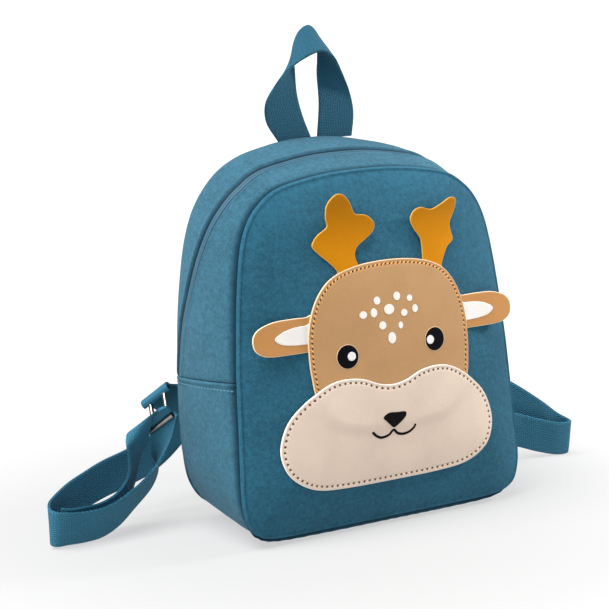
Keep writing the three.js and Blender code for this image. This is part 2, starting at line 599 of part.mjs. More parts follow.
// Square rings. Each hangs from a folded tab behind the back seam; its length runs up towards the body.
// Places are shares of strap reach, body depth and back height, and directions point outward, back and up.
const placeOf = (side, row) => new THREE.Vector3(
  side * row.out * STRAP_REACH, row.back * BODY_DEPTH, row.up * BACK_HEIGHT);
const wayOf = (side, row) => new THREE.Vector3(side * row.wayOut, row.wayBack, row.wayUp).normalize();
const RING = {
  middle: { out: 0.572, back: 0.557, up: 0.3155 },
  length: { wayOut: -0.407, wayBack: -0.683, wayUp: 0.607 },
  height: { wayOut: 0.303, wayBack: -0.727, wayUp: -0.616 },
};

// The ring's middle, its length and height directions, and the way out of its plane towards the back.
function ringFrame(side) {
  const length = wayOf(side, RING.length);
  const height = wayOf(side, RING.height);
  const back = length.clone().cross(height).multiplyScalar(-side).normalize();
  return { middle: placeOf(side, RING.middle), length, height, back };
}

function addRing(name, side) {
  const { middle, length, height, back } = ringFrame(side);
  const [sides, cornerSteps] = [8, 3];
  const path = [];
  [[1, 1], [-1, 1], [-1, -1], [1, -1]].forEach(([a, b], corner) => {
    for (let i = 0; i <= cornerSteps; i += 1) {
      const turn = (Math.PI / 2) * (corner + i / cornerSteps);
      const along = a * (RING_LENGTH / 2 - RING_CORNER) + RING_CORNER * Math.cos(turn);
      const down = b * (RING_HEIGHT / 2 - RING_CORNER) + RING_CORNER * Math.sin(turn);
      path.push({ along, down, outAlong: Math.cos(turn), outDown: Math.sin(turn) });
    }
  });
  const vertices = path.flatMap((p) => {
    const centre = middle.clone().addScaledVector(length, p.along).addScaledVector(height, p.down);
    const out = length.clone().multiplyScalar(p.outAlong).addScaledVector(height, p.outDown);
    return Array.from({ length: sides }, (_, j) => {
      const turn = (2 * Math.PI * j) / sides;
      return centre.clone().addScaledVector(out, (RING_WIRE / 2) * Math.cos(turn))
        .addScaledVector(back, (RING_WIRE / 2) * Math.sin(turn));
    });
  });
  addSolid(name, chrome, vertices, gridFaces(path.length, sides, (r, c) => r * sides + c, true, true));
}

// Edge points of a band at a middle point and a width direction.
const edgesAt = (middle, way, width) => ({
  near: middle.clone().addScaledVector(way, width / 2),
  far: middle.clone().addScaledVector(way, -width / 2),
});

// Stations of a band that turns round one long bar of the ring, from behind it over its inner side.
function turnRoundBar(frame, down, firstDegrees, lastDegrees, steps, width) {
  const bar = frame.middle.clone().addScaledVector(frame.height, down * RING_HEIGHT / 2);
  const radius = RING_WIRE / 2 + GAP + STRAP_THICKNESS / 2;
  return Array.from({ length: steps + 1 }, (_, i) => {
    const turn = THREE.MathUtils.degToRad(lerp(firstDegrees, lastDegrees, i / steps));
    const middle = bar.clone().addScaledVector(frame.back, radius * Math.cos(turn))
      .addScaledVector(frame.height, -radius * Math.sin(turn));
    return edgesAt(middle, frame.length, width);
  });
}

// Tab: sewn flat to the back panel, led out behind the ring and turned round its upper bar.
const TAB_ROWS = [
  { out: 0.43, back: 0.5135, up: 0.32, wayOut: 0, wayBack: 0, wayUp: 1 },
  { out: 0.468, back: 0.59, up: 0.325, wayOut: -0.15, wayBack: -0.3, wayUp: 0.9 },
  { out: 0.51, back: 0.665, up: 0.335, wayOut: -0.3, wayBack: -0.55, wayUp: 0.75 },
];
function addTab(name, side) {
  const stations = TAB_ROWS.map((row) => edgesAt(placeOf(side, row), wayOf(side, row), STRAP_WIDTH));
  addBand(name, webbing, [...stations, ...turnRoundBar(ringFrame(side), -1, 60, 270, 5, BAR_WIDTH)],
    STRAP_THICKNESS, 2);
}

// Shoulder straps: middle of the band and the direction of its width at each bend, from the seam at the
// top of the back to the ring, and from the ring to the loose end that doubles it.
const STRAP_START = [
  { out: 0.098, back: 0.5135, up: 0.975, wayOut: 1, wayBack: 0, wayUp: 0 },
  { out: 0.127, back: 0.539, up: 0.823, wayOut: 0.97, wayBack: 0, wayUp: 0.2 },
];
const STRAP_TO_RING = [
  { out: 0.629, back: 0.5, up: 0.129, wayOut: 0.57, wayBack: -0.7, wayUp: 0.43 },
  { out: 0.592, back: 0.52, up: 0.163, wayOut: 0.45, wayBack: -0.83, wayUp: 0.36 },
  { out: 0.582, back: 0.511, up: 0.191, wayOut: 0.15, wayBack: -0.86, wayUp: 0.5 },
  { out: 0.581, back: 0.492, up: 0.222, wayOut: -0.2, wayBack: -0.78, wayUp: 0.6 },
];
const STRAP_FROM_RING = [
  { out: 0.611, back: 0.479, up: 0.305, wayOut: -0.42, wayBack: -0.66, wayUp: 0.62 },
  { out: 0.65, back: 0.497, up: 0.292, wayOut: -0.65, wayBack: -0.45, wayUp: 0.6 },
  { out: 0.672, back: 0.5, up: 0.237, wayOut: -0.85, wayBack: 0.5, wayUp: -0.15 },
  { out: 0.673, back: 0.534, up: 0.202, wayOut: -0.72, wayBack: 0.66, wayUp: -0.22 },
  { out: 0.68, back: 0.55, up: 0.15, wayOut: -0.52, wayBack: 0.66, wayUp: -0.54 },
  { out: 0.698, back: 0.55, up: 0.111, wayOut: -0.33, wayBack: 0.58, wayUp: -0.74 },
];
const STRAPS = [
  {
    name: 'left',
    side: -1,
    loop: [
      { out: 0.18, back: 0.618, up: 0.638, wayOut: 0.93, wayBack: 0, wayUp: 0.37 },
      { out: 0.263, back: 0.742, up: 0.461, wayOut: 0.8, wayBack: 0.05, wayUp: 0.6 },
      { out: 0.351, back: 0.843, up: 0.321, wayOut: 0.6, wayBack: 0.05, wayUp: 0.8 },
      { out: 0.439, back: 0.888, up: 0.218, wayOut: 0.35, wayBack: 0.03, wayUp: 0.93 },
      { out: 0.527, back: 0.876, up: 0.165, wayOut: 0.2, wayBack: 0, wayUp: 0.98 },
      { out: 0.624, back: 0.848, up: 0.14, wayOut: 0.1, wayBack: 0, wayUp: 0.99 },
      { out: 0.732, back: 0.787, up: 0.1255, wayOut: 0.05, wayBack: 0, wayUp: 1 },
      { out: 0.81, back: 0.719, up: 0.113, wayOut: 0, wayBack: 0, wayUp: 1 },
      { out: 0.888, back: 0.64, up: 0.099, wayOut: 0, wayBack: 0, wayUp: 1 },
      { out: 0.951, back: 0.562, up: 0.082, wayOut: 0.03, wayBack: 0, wayUp: 1 },
      { out: 0.99, back: 0.489, up: 0.07, wayOut: 0.05, wayBack: 0, wayUp: 1 },
      { out: 1.002, back: 0.427, up: 0.0605, wayOut: 0.07, wayBack: -0.1, wayUp: 0.99 },
      { out: 0.993, back: 0.382, up: 0.0575, wayOut: 0.08, wayBack: -0.2, wayUp: 0.97 },
      { out: 0.956, back: 0.369, up: 0.055, wayOut: 0.12, wayBack: -0.3, wayUp: 0.94 },
      { out: 0.905, back: 0.382, up: 0.0505, wayOut: 0.2, wayBack: -0.32, wayUp: 0.9 },
      { out: 0.834, back: 0.393, up: 0.051, wayOut: 0.24, wayBack: -0.4, wayUp: 0.89 },
      { out: 0.77, back: 0.419, up: 0.064, wayOut: 0.3, wayBack: -0.5, wayUp: 0.81 },
      { out: 0.706, back: 0.449, up: 0.092, wayOut: 0.41, wayBack: -0.63, wayUp: 0.65 },
    ],
    tail: [
      { out: 0.744, back: 0.539, up: 0.072, wayOut: -0.2, wayBack: 0.49, wayUp: -0.85 },
      { out: 0.81, back: 0.503, up: 0.054, wayOut: -0.17, wayBack: 0.39, wayUp: -0.9 },
      { out: 0.872, back: 0.47, up: 0.0525, wayOut: -0.11, wayBack: 0.33, wayUp: -0.94 },
      { out: 0.927, back: 0.442, up: 0.0535, wayOut: -0.07, wayBack: 0.24, wayUp: -0.97 },
      { out: 0.963, back: 0.437, up: 0.0576, wayOut: -0.04, wayBack: 0.13, wayUp: -0.99 },
    ],
  },
  {
    name: 'right',
    side: 1,
    loop: [
      { out: 0.195, back: 0.64, up: 0.658, wayOut: 0.93, wayBack: 0, wayUp: 0.37 },
      { out: 0.302, back: 0.764, up: 0.527, wayOut: 0.8, wayBack: 0, wayUp: 0.6 },
      { out: 0.439, back: 0.831, up: 0.416, wayOut: 0.6, wayBack: 0, wayUp: 0.8 },
      { out: 0.576, back: 0.809, up: 0.325, wayOut: 0.45, wayBack: 0, wayUp: 0.9 },
      { out: 0.707, back: 0.685, up: 0.247, wayOut: 0.3, wayBack: 0, wayUp: 0.95 },
      { out: 0.839, back: 0.517, up: 0.183, wayOut: 0.2, wayBack: -0.05, wayUp: 0.98 },
      { out: 0.946, back: 0.399, up: 0.117, wayOut: 0.12, wayBack: -0.05, wayUp: 0.99 },
      { out: 1.01, back: 0.343, up: 0.074, wayOut: 0.05, wayBack: 0, wayUp: 1 },
      { out: 1.041, back: 0.303, up: 0.0576, wayOut: 0, wayBack: 0, wayUp: 1 },
      { out: 1.036, back: 0.27, up: 0.0535, wayOut: 0, wayBack: -0.15, wayUp: 0.99 },
      { out: 0.99, back: 0.275, up: 0.0535, wayOut: 0, wayBack: -0.15, wayUp: 0.99 },
      { out: 0.917, back: 0.337, up: 0.069, wayOut: 0, wayBack: -0.05, wayUp: 1 },
      { out: 0.839, back: 0.405, up: 0.091, wayOut: 0, wayBack: 0, wayUp: 1 },
      { out: 0.742, back: 0.449, up: 0.111, wayOut: 0.3, wayBack: -0.4, wayUp: 0.86 },
    ],
    tail: [
      { out: 0.737, back: 0.55, up: 0.105, wayOut: -0.2, wayBack: 0.5, wayUp: -0.84 },
    ],
  },
];
function addStrap(strap) {
  const stations = (rows) => rows.map((row) =>
    edgesAt(placeOf(strap.side, row), wayOf(strap.side, row), STRAP_WIDTH));
  addBand(`strap_${strap.name}`, webbing, [
    ...stations([...STRAP_START, ...strap.loop, ...STRAP_TO_RING]),
    ...turnRoundBar(ringFrame(strap.side), 1, 0, 120, 4, BAR_WIDTH),
    ...stations([...STRAP_FROM_RING, ...strap.tail]),
  ], STRAP_THICKNESS, 2);
}
for (const strap of STRAPS) {
  addStrap(strap);
  addRing(`ring_${strap.name}`, strap.side);
  addTab(`tab_${strap.name}`, strap.side);
}

export default part;
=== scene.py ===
"""Toddler's backpack with an animal face: cloth body, leather face, webbing straps and metal rings."""
import logging
import math
from dataclasses import dataclass, field
from enum import Enum
from typing import Any, Callable, Optional, Sequence, Union

import bpy
import numpy as np
from mathutils import Matrix, Vector


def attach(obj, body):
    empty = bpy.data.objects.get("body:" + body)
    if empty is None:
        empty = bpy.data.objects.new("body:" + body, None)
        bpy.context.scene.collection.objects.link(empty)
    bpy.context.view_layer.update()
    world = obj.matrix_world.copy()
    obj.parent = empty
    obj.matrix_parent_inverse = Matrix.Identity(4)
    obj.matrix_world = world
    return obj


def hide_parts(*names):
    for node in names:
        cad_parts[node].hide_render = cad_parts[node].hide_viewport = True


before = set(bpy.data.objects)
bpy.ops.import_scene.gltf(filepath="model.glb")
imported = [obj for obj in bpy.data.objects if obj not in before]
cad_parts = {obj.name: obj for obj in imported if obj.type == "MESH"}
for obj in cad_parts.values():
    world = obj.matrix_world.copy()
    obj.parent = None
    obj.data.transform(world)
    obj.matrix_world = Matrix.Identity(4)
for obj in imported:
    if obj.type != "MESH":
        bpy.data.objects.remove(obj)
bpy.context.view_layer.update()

LOG = logging.getLogger("backpack")
MM = 0.001
BODY = "root"
# Edges sharper than this stay sharp, in degrees: on cloth, and on leather, webbing and threads
CLOTH_ANGLE = 60.0
LEATHER_ANGLE = 50.0
Array = np.ndarray
Colour = tuple[float, float, float]
Place = tuple[float, float, float]
Edges = tuple[Array, Array]
Surface = Callable[[Array, Array], Array]
Thing = bpy.types.Object
Material = bpy.types.Material
Socket = bpy.types.NodeSocket
Value = Union[float, Colour, Socket]


class Side(Enum):
    """Left or right of a viewer who faces the animal."""

    LEFT = -1
    RIGHT = 1

    @property
    def word(self) -> str:
        """The side's name in lower case."""
        return self.name.lower()


class Slot(Enum):
    """Material slots of the record."""

    BODY = "body_cloth"
    SIDE = "side_cloth"
    WEBBING = "webbing"
    ZIP = "zip_tape"
    METAL = "metal"
    HEAD = "head_leather"
    MUZZLE = "muzzle_leather"
    ANTLER = "antler_leather"
    EAR = "ear_leather"
    WHITE = "white_leather"
    BLACK = "black_print"


# Curves and small helpers


def smooth_curve(points: Array, shares: Array, closed: bool = False, centripetal: bool = False) -> Array:
    """Points of a smooth curve that passes through given points.

    Args:
        points: the points to pass through, one row each.
        shares: places along the curve, from 0 to 1.
        closed: whether the curve runs back to its first point.
        centripetal: whether close points pull less, as suits a bent band.

    Returns:
        One row of coordinates for each share.
    """
    pts = np.asarray(points, dtype=float)
    count = len(pts)
    spans = count if closed else count - 1
    along = np.asarray(shares, dtype=float) * spans
    first = np.floor(along).astype(int)
    if not closed:
        first = np.clip(first, 0, spans - 1)
    part = (along - first)[:, None]
    if closed:
        p0, p1, p2, p3 = (pts[(first + k) % count] for k in (-1, 0, 1, 2))
    else:
        ends = np.vstack([2 * pts[0] - pts[1], pts, 2 * pts[-1] - pts[-2]])
        p0, p1, p2, p3 = (ends[first + k] for k in (0, 1, 2, 3))
    if centripetal:
        d0, d1, d2 = (np.sqrt(np.linalg.norm(b - a, axis=1, keepdims=True))
                      for a, b in ((p0, p1), (p1, p2), (p2, p3)))
        start = ((p1 - p0) / d0 - (p2 - p0) / (d0 + d1) + (p2 - p1) / d1) * d1
        end = ((p2 - p1) / d1 - (p3 - p1) / (d1 + d2) + (p3 - p2) / d2) * d1
    else:
        start, end = (p2 - p0) / 2, (p3 - p1) / 2
    square, cube = part ** 2, part ** 3
    return (p1 + start * part + (3 * (p2 - p1) - 2 * start - end) * square
            + (2 * (p1 - p2) + start + end) * cube)


def unit(vectors: Array) -> Array:
    """Vectors scaled to length one along their last axis."""
    return vectors / np.maximum(np.linalg.norm(vectors, axis=-1, keepdims=True), 1e-12)


def even_round(length: float, count: int) -> Array:
    """Even places round a closed line, from 0 up to its length, which is left out."""
    return np.linspace(0, length, count + 1)[:-1]


def run_along(points: Array) -> Array:
    """Length along an open line of points, up to each of them."""
    return np.concatenate([[0], np.cumsum(np.linalg.norm(np.diff(points, axis=0), axis=1))])


def dense_ends(count: int, strength: float) -> Array:
    """Shares from 0 to 1 that lie closer together at both ends.

    Args:
        count: how many steps.
        strength: 0 for even steps, near 1 for very fine ends.

    Returns:
        count + 1 shares.
    """
    even = np.linspace(0, 1, count + 1)
    return even - strength * np.sin(2 * np.pi * even) / (2 * np.pi)


def smooth_step(value: Array, low: float, high: float) -> Array:
    """0 under low, 1 over high and a smooth rise between them."""
    share = np.clip((value - low) / (high - low), 0, 1)
    return share * share * (3 - 2 * share)


def ripple(u: Array, v: Array, length: float, seed: float) -> Array:
    """Soft uneven waves of cloth, from about -1 to 1.

    Args:
        u, v: places on the cloth, in metres.
        length: typical wave length in metres.
        seed: moves the pattern, so that each piece has its own.

    Returns:
        Height of the waves at each place.
    """
    turn = 2 * np.pi / length
    a = np.sin(turn * (0.83 * u + 0.31 * v) + 1.7 * seed)
    b = np.sin(turn * (-0.42 * u + 0.95 * v) + 2.9 * seed + 1.3 * a)
    c = np.sin(turn * 1.9 * (0.61 * u - 0.72 * v) + 4.1 * seed + 0.8 * b)
    return 0.45 * a + 0.35 * b + 0.2 * c


# Mesh making


def make_object(name: str, vertices: Array, faces: Sequence[Sequence[int]],
                uvs: Optional[Array] = None) -> Thing:
    """A new mesh object at the origin.

    Args:
        name: the object's name.
        vertices: one row of coordinates each, in metres.
        faces: vertex numbers of each face.
        uvs: one row for each corner of each face, in order.

    Returns:
        The Blender object.
    """
    mesh = bpy.data.meshes.new(name)
    mesh.from_pydata(np.asarray(vertices).tolist(), [], [tuple(int(i) for i in f) for f in faces])
    if uvs is not None:
        layer = mesh.uv_layers.new(name="cloth")
        layer.data.foreach_set("uv", np.asarray(uvs, dtype=np.float32).ravel())
    mesh.update()
    piece = bpy.data.objects.new(name, mesh)
    bpy.context.scene.collection.objects.link(piece)
    return piece


def choose(piece: Thing) -> None:
    """Makes one object the only selected and active one."""
    bpy.ops.object.select_all(action="DESELECT")
    piece.select_set(True)
    bpy.context.view_layer.objects.active = piece


def rounded_box(size: Place, centre: Place, bevel: float, steps: int) -> Thing:
    """A box with rounded edges.

    Args:
        size: along x, y and z.
        centre: its middle.
        bevel: width of the rounding.
        steps: how many faces the rounding has.

    Returns:
        The Blender object.
    """
    bpy.ops.object.select_all(action="DESELECT")
    bpy.ops.mesh.primitive_cube_add(size=1.0, location=centre)
    bpy.ops.object.mode_set(mode="EDIT")
    bpy.ops.transform.resize(value=size)
    bpy.ops.mesh.bevel(offset=bevel, segments=steps, affect="EDGES")
    bpy.ops.object.mode_set(mode="OBJECT")
    return bpy.context.object


def close_up(piece: Thing, angle: float) -> None:
    """Turns a closed mesh's faces outward and smooths it up to an angle in degrees."""
    choose(piece)
    bpy.ops.object.mode_set(mode="EDIT")
    bpy.ops.mesh.select_all(action="SELECT")
    bpy.ops.mesh.normals_make_consistent(inside=False)
    bpy.ops.object.mode_set(mode="OBJECT")
    bpy.ops.object.shade_smooth_by_angle(angle=math.radians(angle))


def grid_quads(rows: int, columns: int, wrap: bool) -> Array:
    """Vertex numbers of the quads of a grid.

    Args:
        rows, columns: how many points the grid has.
        wrap: whether its last column joins its first.

    Returns:
        Quads by 4 corners.
    """
    r = np.arange(rows - 1)[:, None]
    c = np.arange(columns if wrap else columns - 1)[None, :]
    n = (c + 1) % columns
    corners = (r * columns + c, r * columns + n, (r + 1) * columns + n, (r + 1) * columns + c)
    return np.stack(corners, -1).reshape(-1, 4)


def ring_solid(name: str, rings: Array, uv: Array, first_hub: Array, last_hub: Array, angle: float) -> Thing:
    """A closed body through rings of points, closed by a fan at each end.

    Args:
        name: the object's name.
        rings: points, as rings by points by 3.
        uv: pattern places, as rings by points + 1 by 2.
        first_hub, last_hub: the points that close the first and the last ring.
        angle: edges sharper than this stay sharp, in degrees.

    Returns:
        The Blender object.
    """
    rows, columns = rings.shape[:2]
    quads = grid_quads(rows, columns, True)
    corners = grid_quads(rows, columns + 1, False)
    flat = uv.reshape(-1, 2)
    here = np.arange(columns)
    after = (here + 1) % columns
    last = (rows - 1) * columns
    hub = rows * columns
    fans = [np.stack([after, here, np.full(columns, hub)], -1),
            np.stack([last + here, last + after, np.full(columns, hub + 1)], -1)]
    end = (rows - 1) * (columns + 1)
    fan_uv = [np.stack([flat[here + 1], flat[here], flat[here]], 1).reshape(-1, 2),
              np.stack([flat[end + here], flat[end + here + 1], flat[end + here]], 1).reshape(-1, 2)]
    vertices = np.vstack([rings.reshape(-1, 3), first_hub, last_hub])
    faces = quads.tolist() + fans[0].tolist() + fans[1].tolist()
    piece = make_object(name, vertices, faces, np.vstack([flat[corners.ravel()], *fan_uv]))
    close_up(piece, angle)
    return piece


def sheet_solid(name: str, outer: Array, inner: Array, uv: Array) -> Thing:
    """A closed sheet between two grids of points.

    Args:
        name: the object's name.
        outer, inner: the two faces, as rows by columns by 3.
        uv: pattern places of both faces, as rows by columns by 2.

    Returns:
        The Blender object.
    """
    rows, columns = outer.shape[:2]
    count = rows * columns
    quads = grid_quads(rows, columns, False)
    number = np.arange(count).reshape(rows, columns)
    rims = []
    for line in (number[0, ::-1], number[-1], number[:, 0], number[::-1, -1]):
        rims.append(np.stack([line[:-1], line[1:], line[1:] + count, line[:-1] + count], -1))
    faces = np.vstack([quads, quads[:, ::-1] + count, *rims])
    flat = np.vstack([uv.reshape(-1, 2)] * 2)
    vertices = np.vstack([outer.reshape(-1, 3), inner.reshape(-1, 3)])
    piece = make_object(name, vertices, faces.tolist(), flat[faces.ravel()])
    close_up(piece, CLOTH_ANGLE)
    return piece


def scatter(name: str, template: Thing, frames: Sequence[Matrix]) -> Thing:
    """One mesh made of copies of a template, one at each frame; the template is used up.

    Args:
        name: the new object's name.
        template: the object that is repeated.
        frames: the place and turn of each copy.

    Returns:
        The Blender object.
    """
    mesh = template.data
    count = len(mesh.vertices)
    local = np.empty(count * 3)
    mesh.vertices.foreach_get("co", local)
    local = np.hstack([local.reshape(-1, 3), np.ones((count, 1))])
    faces = [tuple(p.vertices) for p in mesh.polygons]
    vertices = [local @ np.array(turn).T[:, :3] for turn in frames]
    every = [tuple(i + k * count for i in f) for k in range(len(frames)) for f in faces]
    bpy.data.objects.remove(template)
    piece = make_object(name, np.vstack(vertices), every)
    choose(piece)
    bpy.ops.object.shade_smooth_by_angle(angle=math.radians(LEATHER_ANGLE))
    return piece


def axes_matrix(origin: Array, x: Array, y: Array, z: Array) -> Matrix:
    """A matrix that takes local axes to three directions at a point."""
    return Matrix([[x[i], y[i], z[i], origin[i]] for i in range(3)] + [[0, 0, 0, 1]])


def place(piece: Thing, finish: Material, slot: Slot, *nodes: str) -> None:
    """Dresses a piece and lets it ride on the body.

    Args:
        piece: the finished piece.
        finish: its material.
        slot: its slot in the record; not used.
        nodes: the CAD nodes that it stands for, none for a detail on another piece.
    """
    piece.data.materials.clear()
    piece.data.materials.append(finish)
    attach(piece, BODY)
    if nodes:
        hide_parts(*nodes)
    LOG.info("%s: %d faces", piece.name, len(piece.data.polygons))


# Finishes


class Shader:
    """Node tree of one procedural finish, with short methods for its steps."""

    def __init__(self, name: str, roughness: float = 0.6, metallic: float = 0.0, specular: float = 0.5):
        """Starts a Principled finish.

        Args:
            name: the material's name.
            roughness: even roughness, unless a pattern is linked to it.
            metallic: 0 for cloth and leather, 1 for metal.
            specular: even specular level.
        """
        self.material = bpy.data.materials.new(name)
        self.material.use_nodes = True
        self.tree = self.material.node_tree
        self.surface = self.tree.nodes["Principled BSDF"]
        self.surface.inputs["Roughness"].default_value = roughness
        self.surface.inputs["Metallic"].default_value = metallic
        self.surface.inputs["Specular IOR Level"].default_value = specular
        self.coords = self.tree.nodes.new("ShaderNodeTexCoord")

    def link(self, value: Value, socket: Socket) -> None:
        """Links an output, or sets a number or a colour."""
        if isinstance(value, (int, float)):
            socket.default_value = value
        elif isinstance(value, tuple):
            socket.default_value = (*value, 1.0) if len(socket.default_value) == 4 else value
        else:
            self.tree.links.new(value, socket)

    def math(self, operation: str, a: Value, b: Value = 0.0) -> Socket:
        """Output of a Math node."""
        node = self.tree.nodes.new("ShaderNodeMath")
        node.operation = operation
        self.link(a, node.inputs[0])
        self.link(b, node.inputs[1])
        return node.outputs[0]

    def total(self, *parts: tuple[Socket, float]) -> Socket:
        """Weighted sum of patterns, from pairs of pattern and weight."""
        terms = [self.math("MULTIPLY", pattern, weight) for pattern, weight in parts]
        found = terms[0]
        for term in terms[1:]:
            found = self.math("ADD", found, term)
        return found

    def noise(self, vector: Socket, scale: float, detail: float, roughness: float = 0.55) -> Socket:
        """Output of a Noise node with a scale in cells per metre."""
        node = self.tree.nodes.new("ShaderNodeTexNoise")
        self.link(vector, node.inputs["Vector"])
        node.inputs["Scale"].default_value = scale
        node.inputs["Detail"].default_value = detail
        node.inputs["Roughness"].default_value = roughness
        return node.outputs["Fac"]

    def cells(self, vector: Socket, scale: float) -> Socket:
        """Distance output of a Voronoi node with a scale in cells per metre."""
        node = self.tree.nodes.new("ShaderNodeTexVoronoi")
        self.link(vector, node.inputs["Vector"])
        node.inputs["Scale"].default_value = scale
        return node.outputs["Distance"]

    def span(self, value: Value, low: float, high: float, to_low: float = 0.0,
             to_high: float = 1.0) -> Socket:
        """Output of a smooth Map Range node.

        Args:
            value: what is mapped.
            low, high: the values between which the output changes.
            to_low, to_high: the output up to low and from high on.

        Returns:
            The mapped value.
        """
        node = self.tree.nodes.new("ShaderNodeMapRange")
        node.interpolation_type = "SMOOTHSTEP"
        self.link(value, node.inputs["Value"])
        for key, number in (("From Min", low), ("From Max", high), ("To Min", to_low), ("To Max", to_high)):
            node.inputs[key].default_value = number
        return node.outputs["Result"]

    def mix(self, factor: Value, a: Value, b: Value) -> Socket:
        """Output of a colour mix."""
        node = self.tree.nodes.new("ShaderNodeMix")
        node.data_type = "RGBA"
        self.link(factor, node.inputs[0])
        self.link(a, node.inputs[6])
        self.link(b, node.inputs[7])
        return node.outputs[2]

    def split(self, vector: Socket) -> Sequence[Socket]:
        """The three parts of a vector."""
        node = self.tree.nodes.new("ShaderNodeSeparateXYZ")
        self.link(vector, node.inputs[0])
        return node.outputs

    def uv(self) -> tuple[Socket, Socket]:
        """The two places of the piece's own pattern map, in millimetres."""
        node = self.tree.nodes.new("ShaderNodeUVMap")
        node.uv_map = "cloth"
        parts = self.split(node.outputs[0])
        return parts[0], parts[1]

    def distance(self, a: Socket, b: Socket) -> Socket:
        """Length of the vector with parts a and b."""
        return self.math("SQRT", self.math("ADD", self.math("MULTIPLY", a, a), self.math("MULTIPLY", b, b)))

    def bump(self, height: Socket, distance: float, normal: Optional[Socket] = None) -> Socket:
        """Normal output of a Bump node at full strength.

        Args:
            height: pattern of the relief.
            distance: height in metres where the pattern is 1.
            normal: the normal of a coarser relief under it.

        Returns:
            The new normal.
        """
        node = self.tree.nodes.new("ShaderNodeBump")
        node.inputs["Strength"].default_value = 1.0
        node.inputs["Distance"].default_value = distance
        self.link(height, node.inputs["Height"])
        if normal is not None:
            self.link(normal, node.inputs["Normal"])
        return node.outputs["Normal"]

    def colour(self, value: Value) -> None:
        """Sets or links the base colour."""
        self.link(value, self.surface.inputs["Base Color"])

    def rough(self, value: Value) -> None:
        """Links the roughness."""
        self.link(value, self.surface.inputs["Roughness"])

    def normal(self, value: Socket) -> None:
        """Links the normal."""
        self.link(value, self.surface.inputs["Normal"])

    def sheen(self, weight: float, roughness: float, tint: Colour) -> None:
        """Sets the even fuzz of cloth on the shader's own sockets."""
        self.surface.inputs["Sheen Weight"].default_value = weight
        self.surface.inputs["Sheen Roughness"].default_value = roughness
        self.surface.inputs["Sheen Tint"].default_value = (*tint, 1.0)


def shade(colour: Colour, factor: float) -> Colour:
    """A colour made lighter or darker by a factor."""
    return tuple(min(1.0, c * factor) for c in colour)


def seam_shadow(colour: Colour, factor: float, blueness: float) -> Colour:
    """The colour of cloth in a seam's shadow: darker by a factor, without red and with more blue."""
    _, green, blue = shade(colour, factor)
    return 0.0, green, blueness * blue


@dataclass(frozen=True)
class CanvasFinish:
    """Brushed canvas: a fine weave under a short nap, with painted shade along the strip's near edge if
    asked.

    Attributes:
        name: material name.
        colour: middle colour, linear.
        yarn: weave pitch in millimetres.
        contrast: how far the nap's speckle goes from the middle colour.
        fuzz: weight of the pale fuzz.
        painted_seam_shade: colour factor right at the strip's near edge, a painted shade of the seam's
            crease; 1 for none.
        seam_from, seam_to: distances from that edge between which the painted shade fades, in millimetres.
    """

    name: str
    colour: Colour
    yarn: float = 0.75
    contrast: float = 0.27
    fuzz: float = 0.12
    painted_seam_shade: float = 1.0
    seam_from: float = 0.4
    seam_to: float = 7.5

    def build(self) -> Material:
        """The finished material."""
        sh = Shader(self.name, specular=0.15)
        point = sh.coords.outputs["Object"]
        u, v = sh.uv()
        turn = 2 * math.pi / self.yarn
        warp = sh.math("SINE", sh.math("MULTIPLY", u, turn))
        weft = sh.math("SINE", sh.math("MULTIPLY", v, turn))
        weave = sh.math("MULTIPLY", warp, weft)
        nap = sh.noise(point, scale=700, detail=4.0, roughness=0.65)
        tuft = sh.noise(point, scale=340, detail=2.0)
        cloud = sh.noise(point, scale=26, detail=2.0)
        tone = sh.span(sh.total((nap, 0.5), (tuft, 0.3), (cloud, 0.2)), 0.36, 0.64)
        base = sh.mix(tone, shade(self.colour, 1 - self.contrast), shade(self.colour, 1 + self.contrast))
        # Painted shade: the cloth turns dark towards the strip's near edge, where the seam's crease lies in
        # shade.
        if self.painted_seam_shade != 1.0:
            dark = seam_shadow(self.colour, self.painted_seam_shade, 1.3)
            base = sh.mix(sh.span(v, self.seam_from, self.seam_to, 1.0, 0.0), base, dark)
        sh.colour(base)
        sh.rough(sh.span(nap, 0.3, 0.7, 0.82, 0.96))
        sh.normal(sh.bump(sh.total((weave, 0.22), (nap, 1.0), (tuft, 0.4)), 0.3 * MM))
        sh.sheen(self.fuzz, 0.45, (0.5, 0.75, 0.9))
        return sh.material


@dataclass(frozen=True)
class WebbingFinish:
    """Woven webbing with fine lines that run along it in a zigzag.

    Attributes:
        name: material name.
        colour: middle colour, linear.
        limb: length of one limb of the zigzag, in millimetres.
        pitch: distance between the lines across the band, in millimetres.
        steep: sideways step of a line for each step along the band.
    """

    name: str
    colour: Colour
    limb: float = 1.6
    pitch: float = 1.45
    steep: float = 0.35

    def build(self) -> Material:
        """The finished material."""
        sh = Shader(self.name, specular=0.2)
        point = sh.coords.outputs["Object"]
        u, v = sh.uv()
        drift = sh.noise(point, scale=300, detail=2.0)
        wobble = sh.math("MULTIPLY", sh.math("SUBTRACT", drift, 0.5), 0.45)
        fold = sh.math("PINGPONG", u, self.limb)
        phase = sh.math("ADD", sh.math("ADD", v, sh.math("MULTIPLY", fold, self.steep)), wobble)
        yarn = sh.math("SINE", sh.math("MULTIPLY", phase, 2 * math.pi / self.pitch))
        rib = sh.math("COSINE", sh.math("MULTIPLY", u, 2 * math.pi / self.limb))
        fibre = sh.noise(point, scale=1500, detail=3.0)
        height = sh.total((yarn, 0.5), (rib, 0.22), (fibre, 0.5))
        tone = sh.span(height, -0.35, 0.95)
        sh.colour(sh.mix(tone, shade(self.colour, 0.72), shade(self.colour, 1.16)))
        sh.rough(sh.span(fibre, 0.3, 0.7, 0.7, 0.88))
        sh.normal(sh.bump(height, 0.3 * MM))
        sh.sheen(0.05, 0.4, (0.6, 0.78, 0.9))
        return sh.material


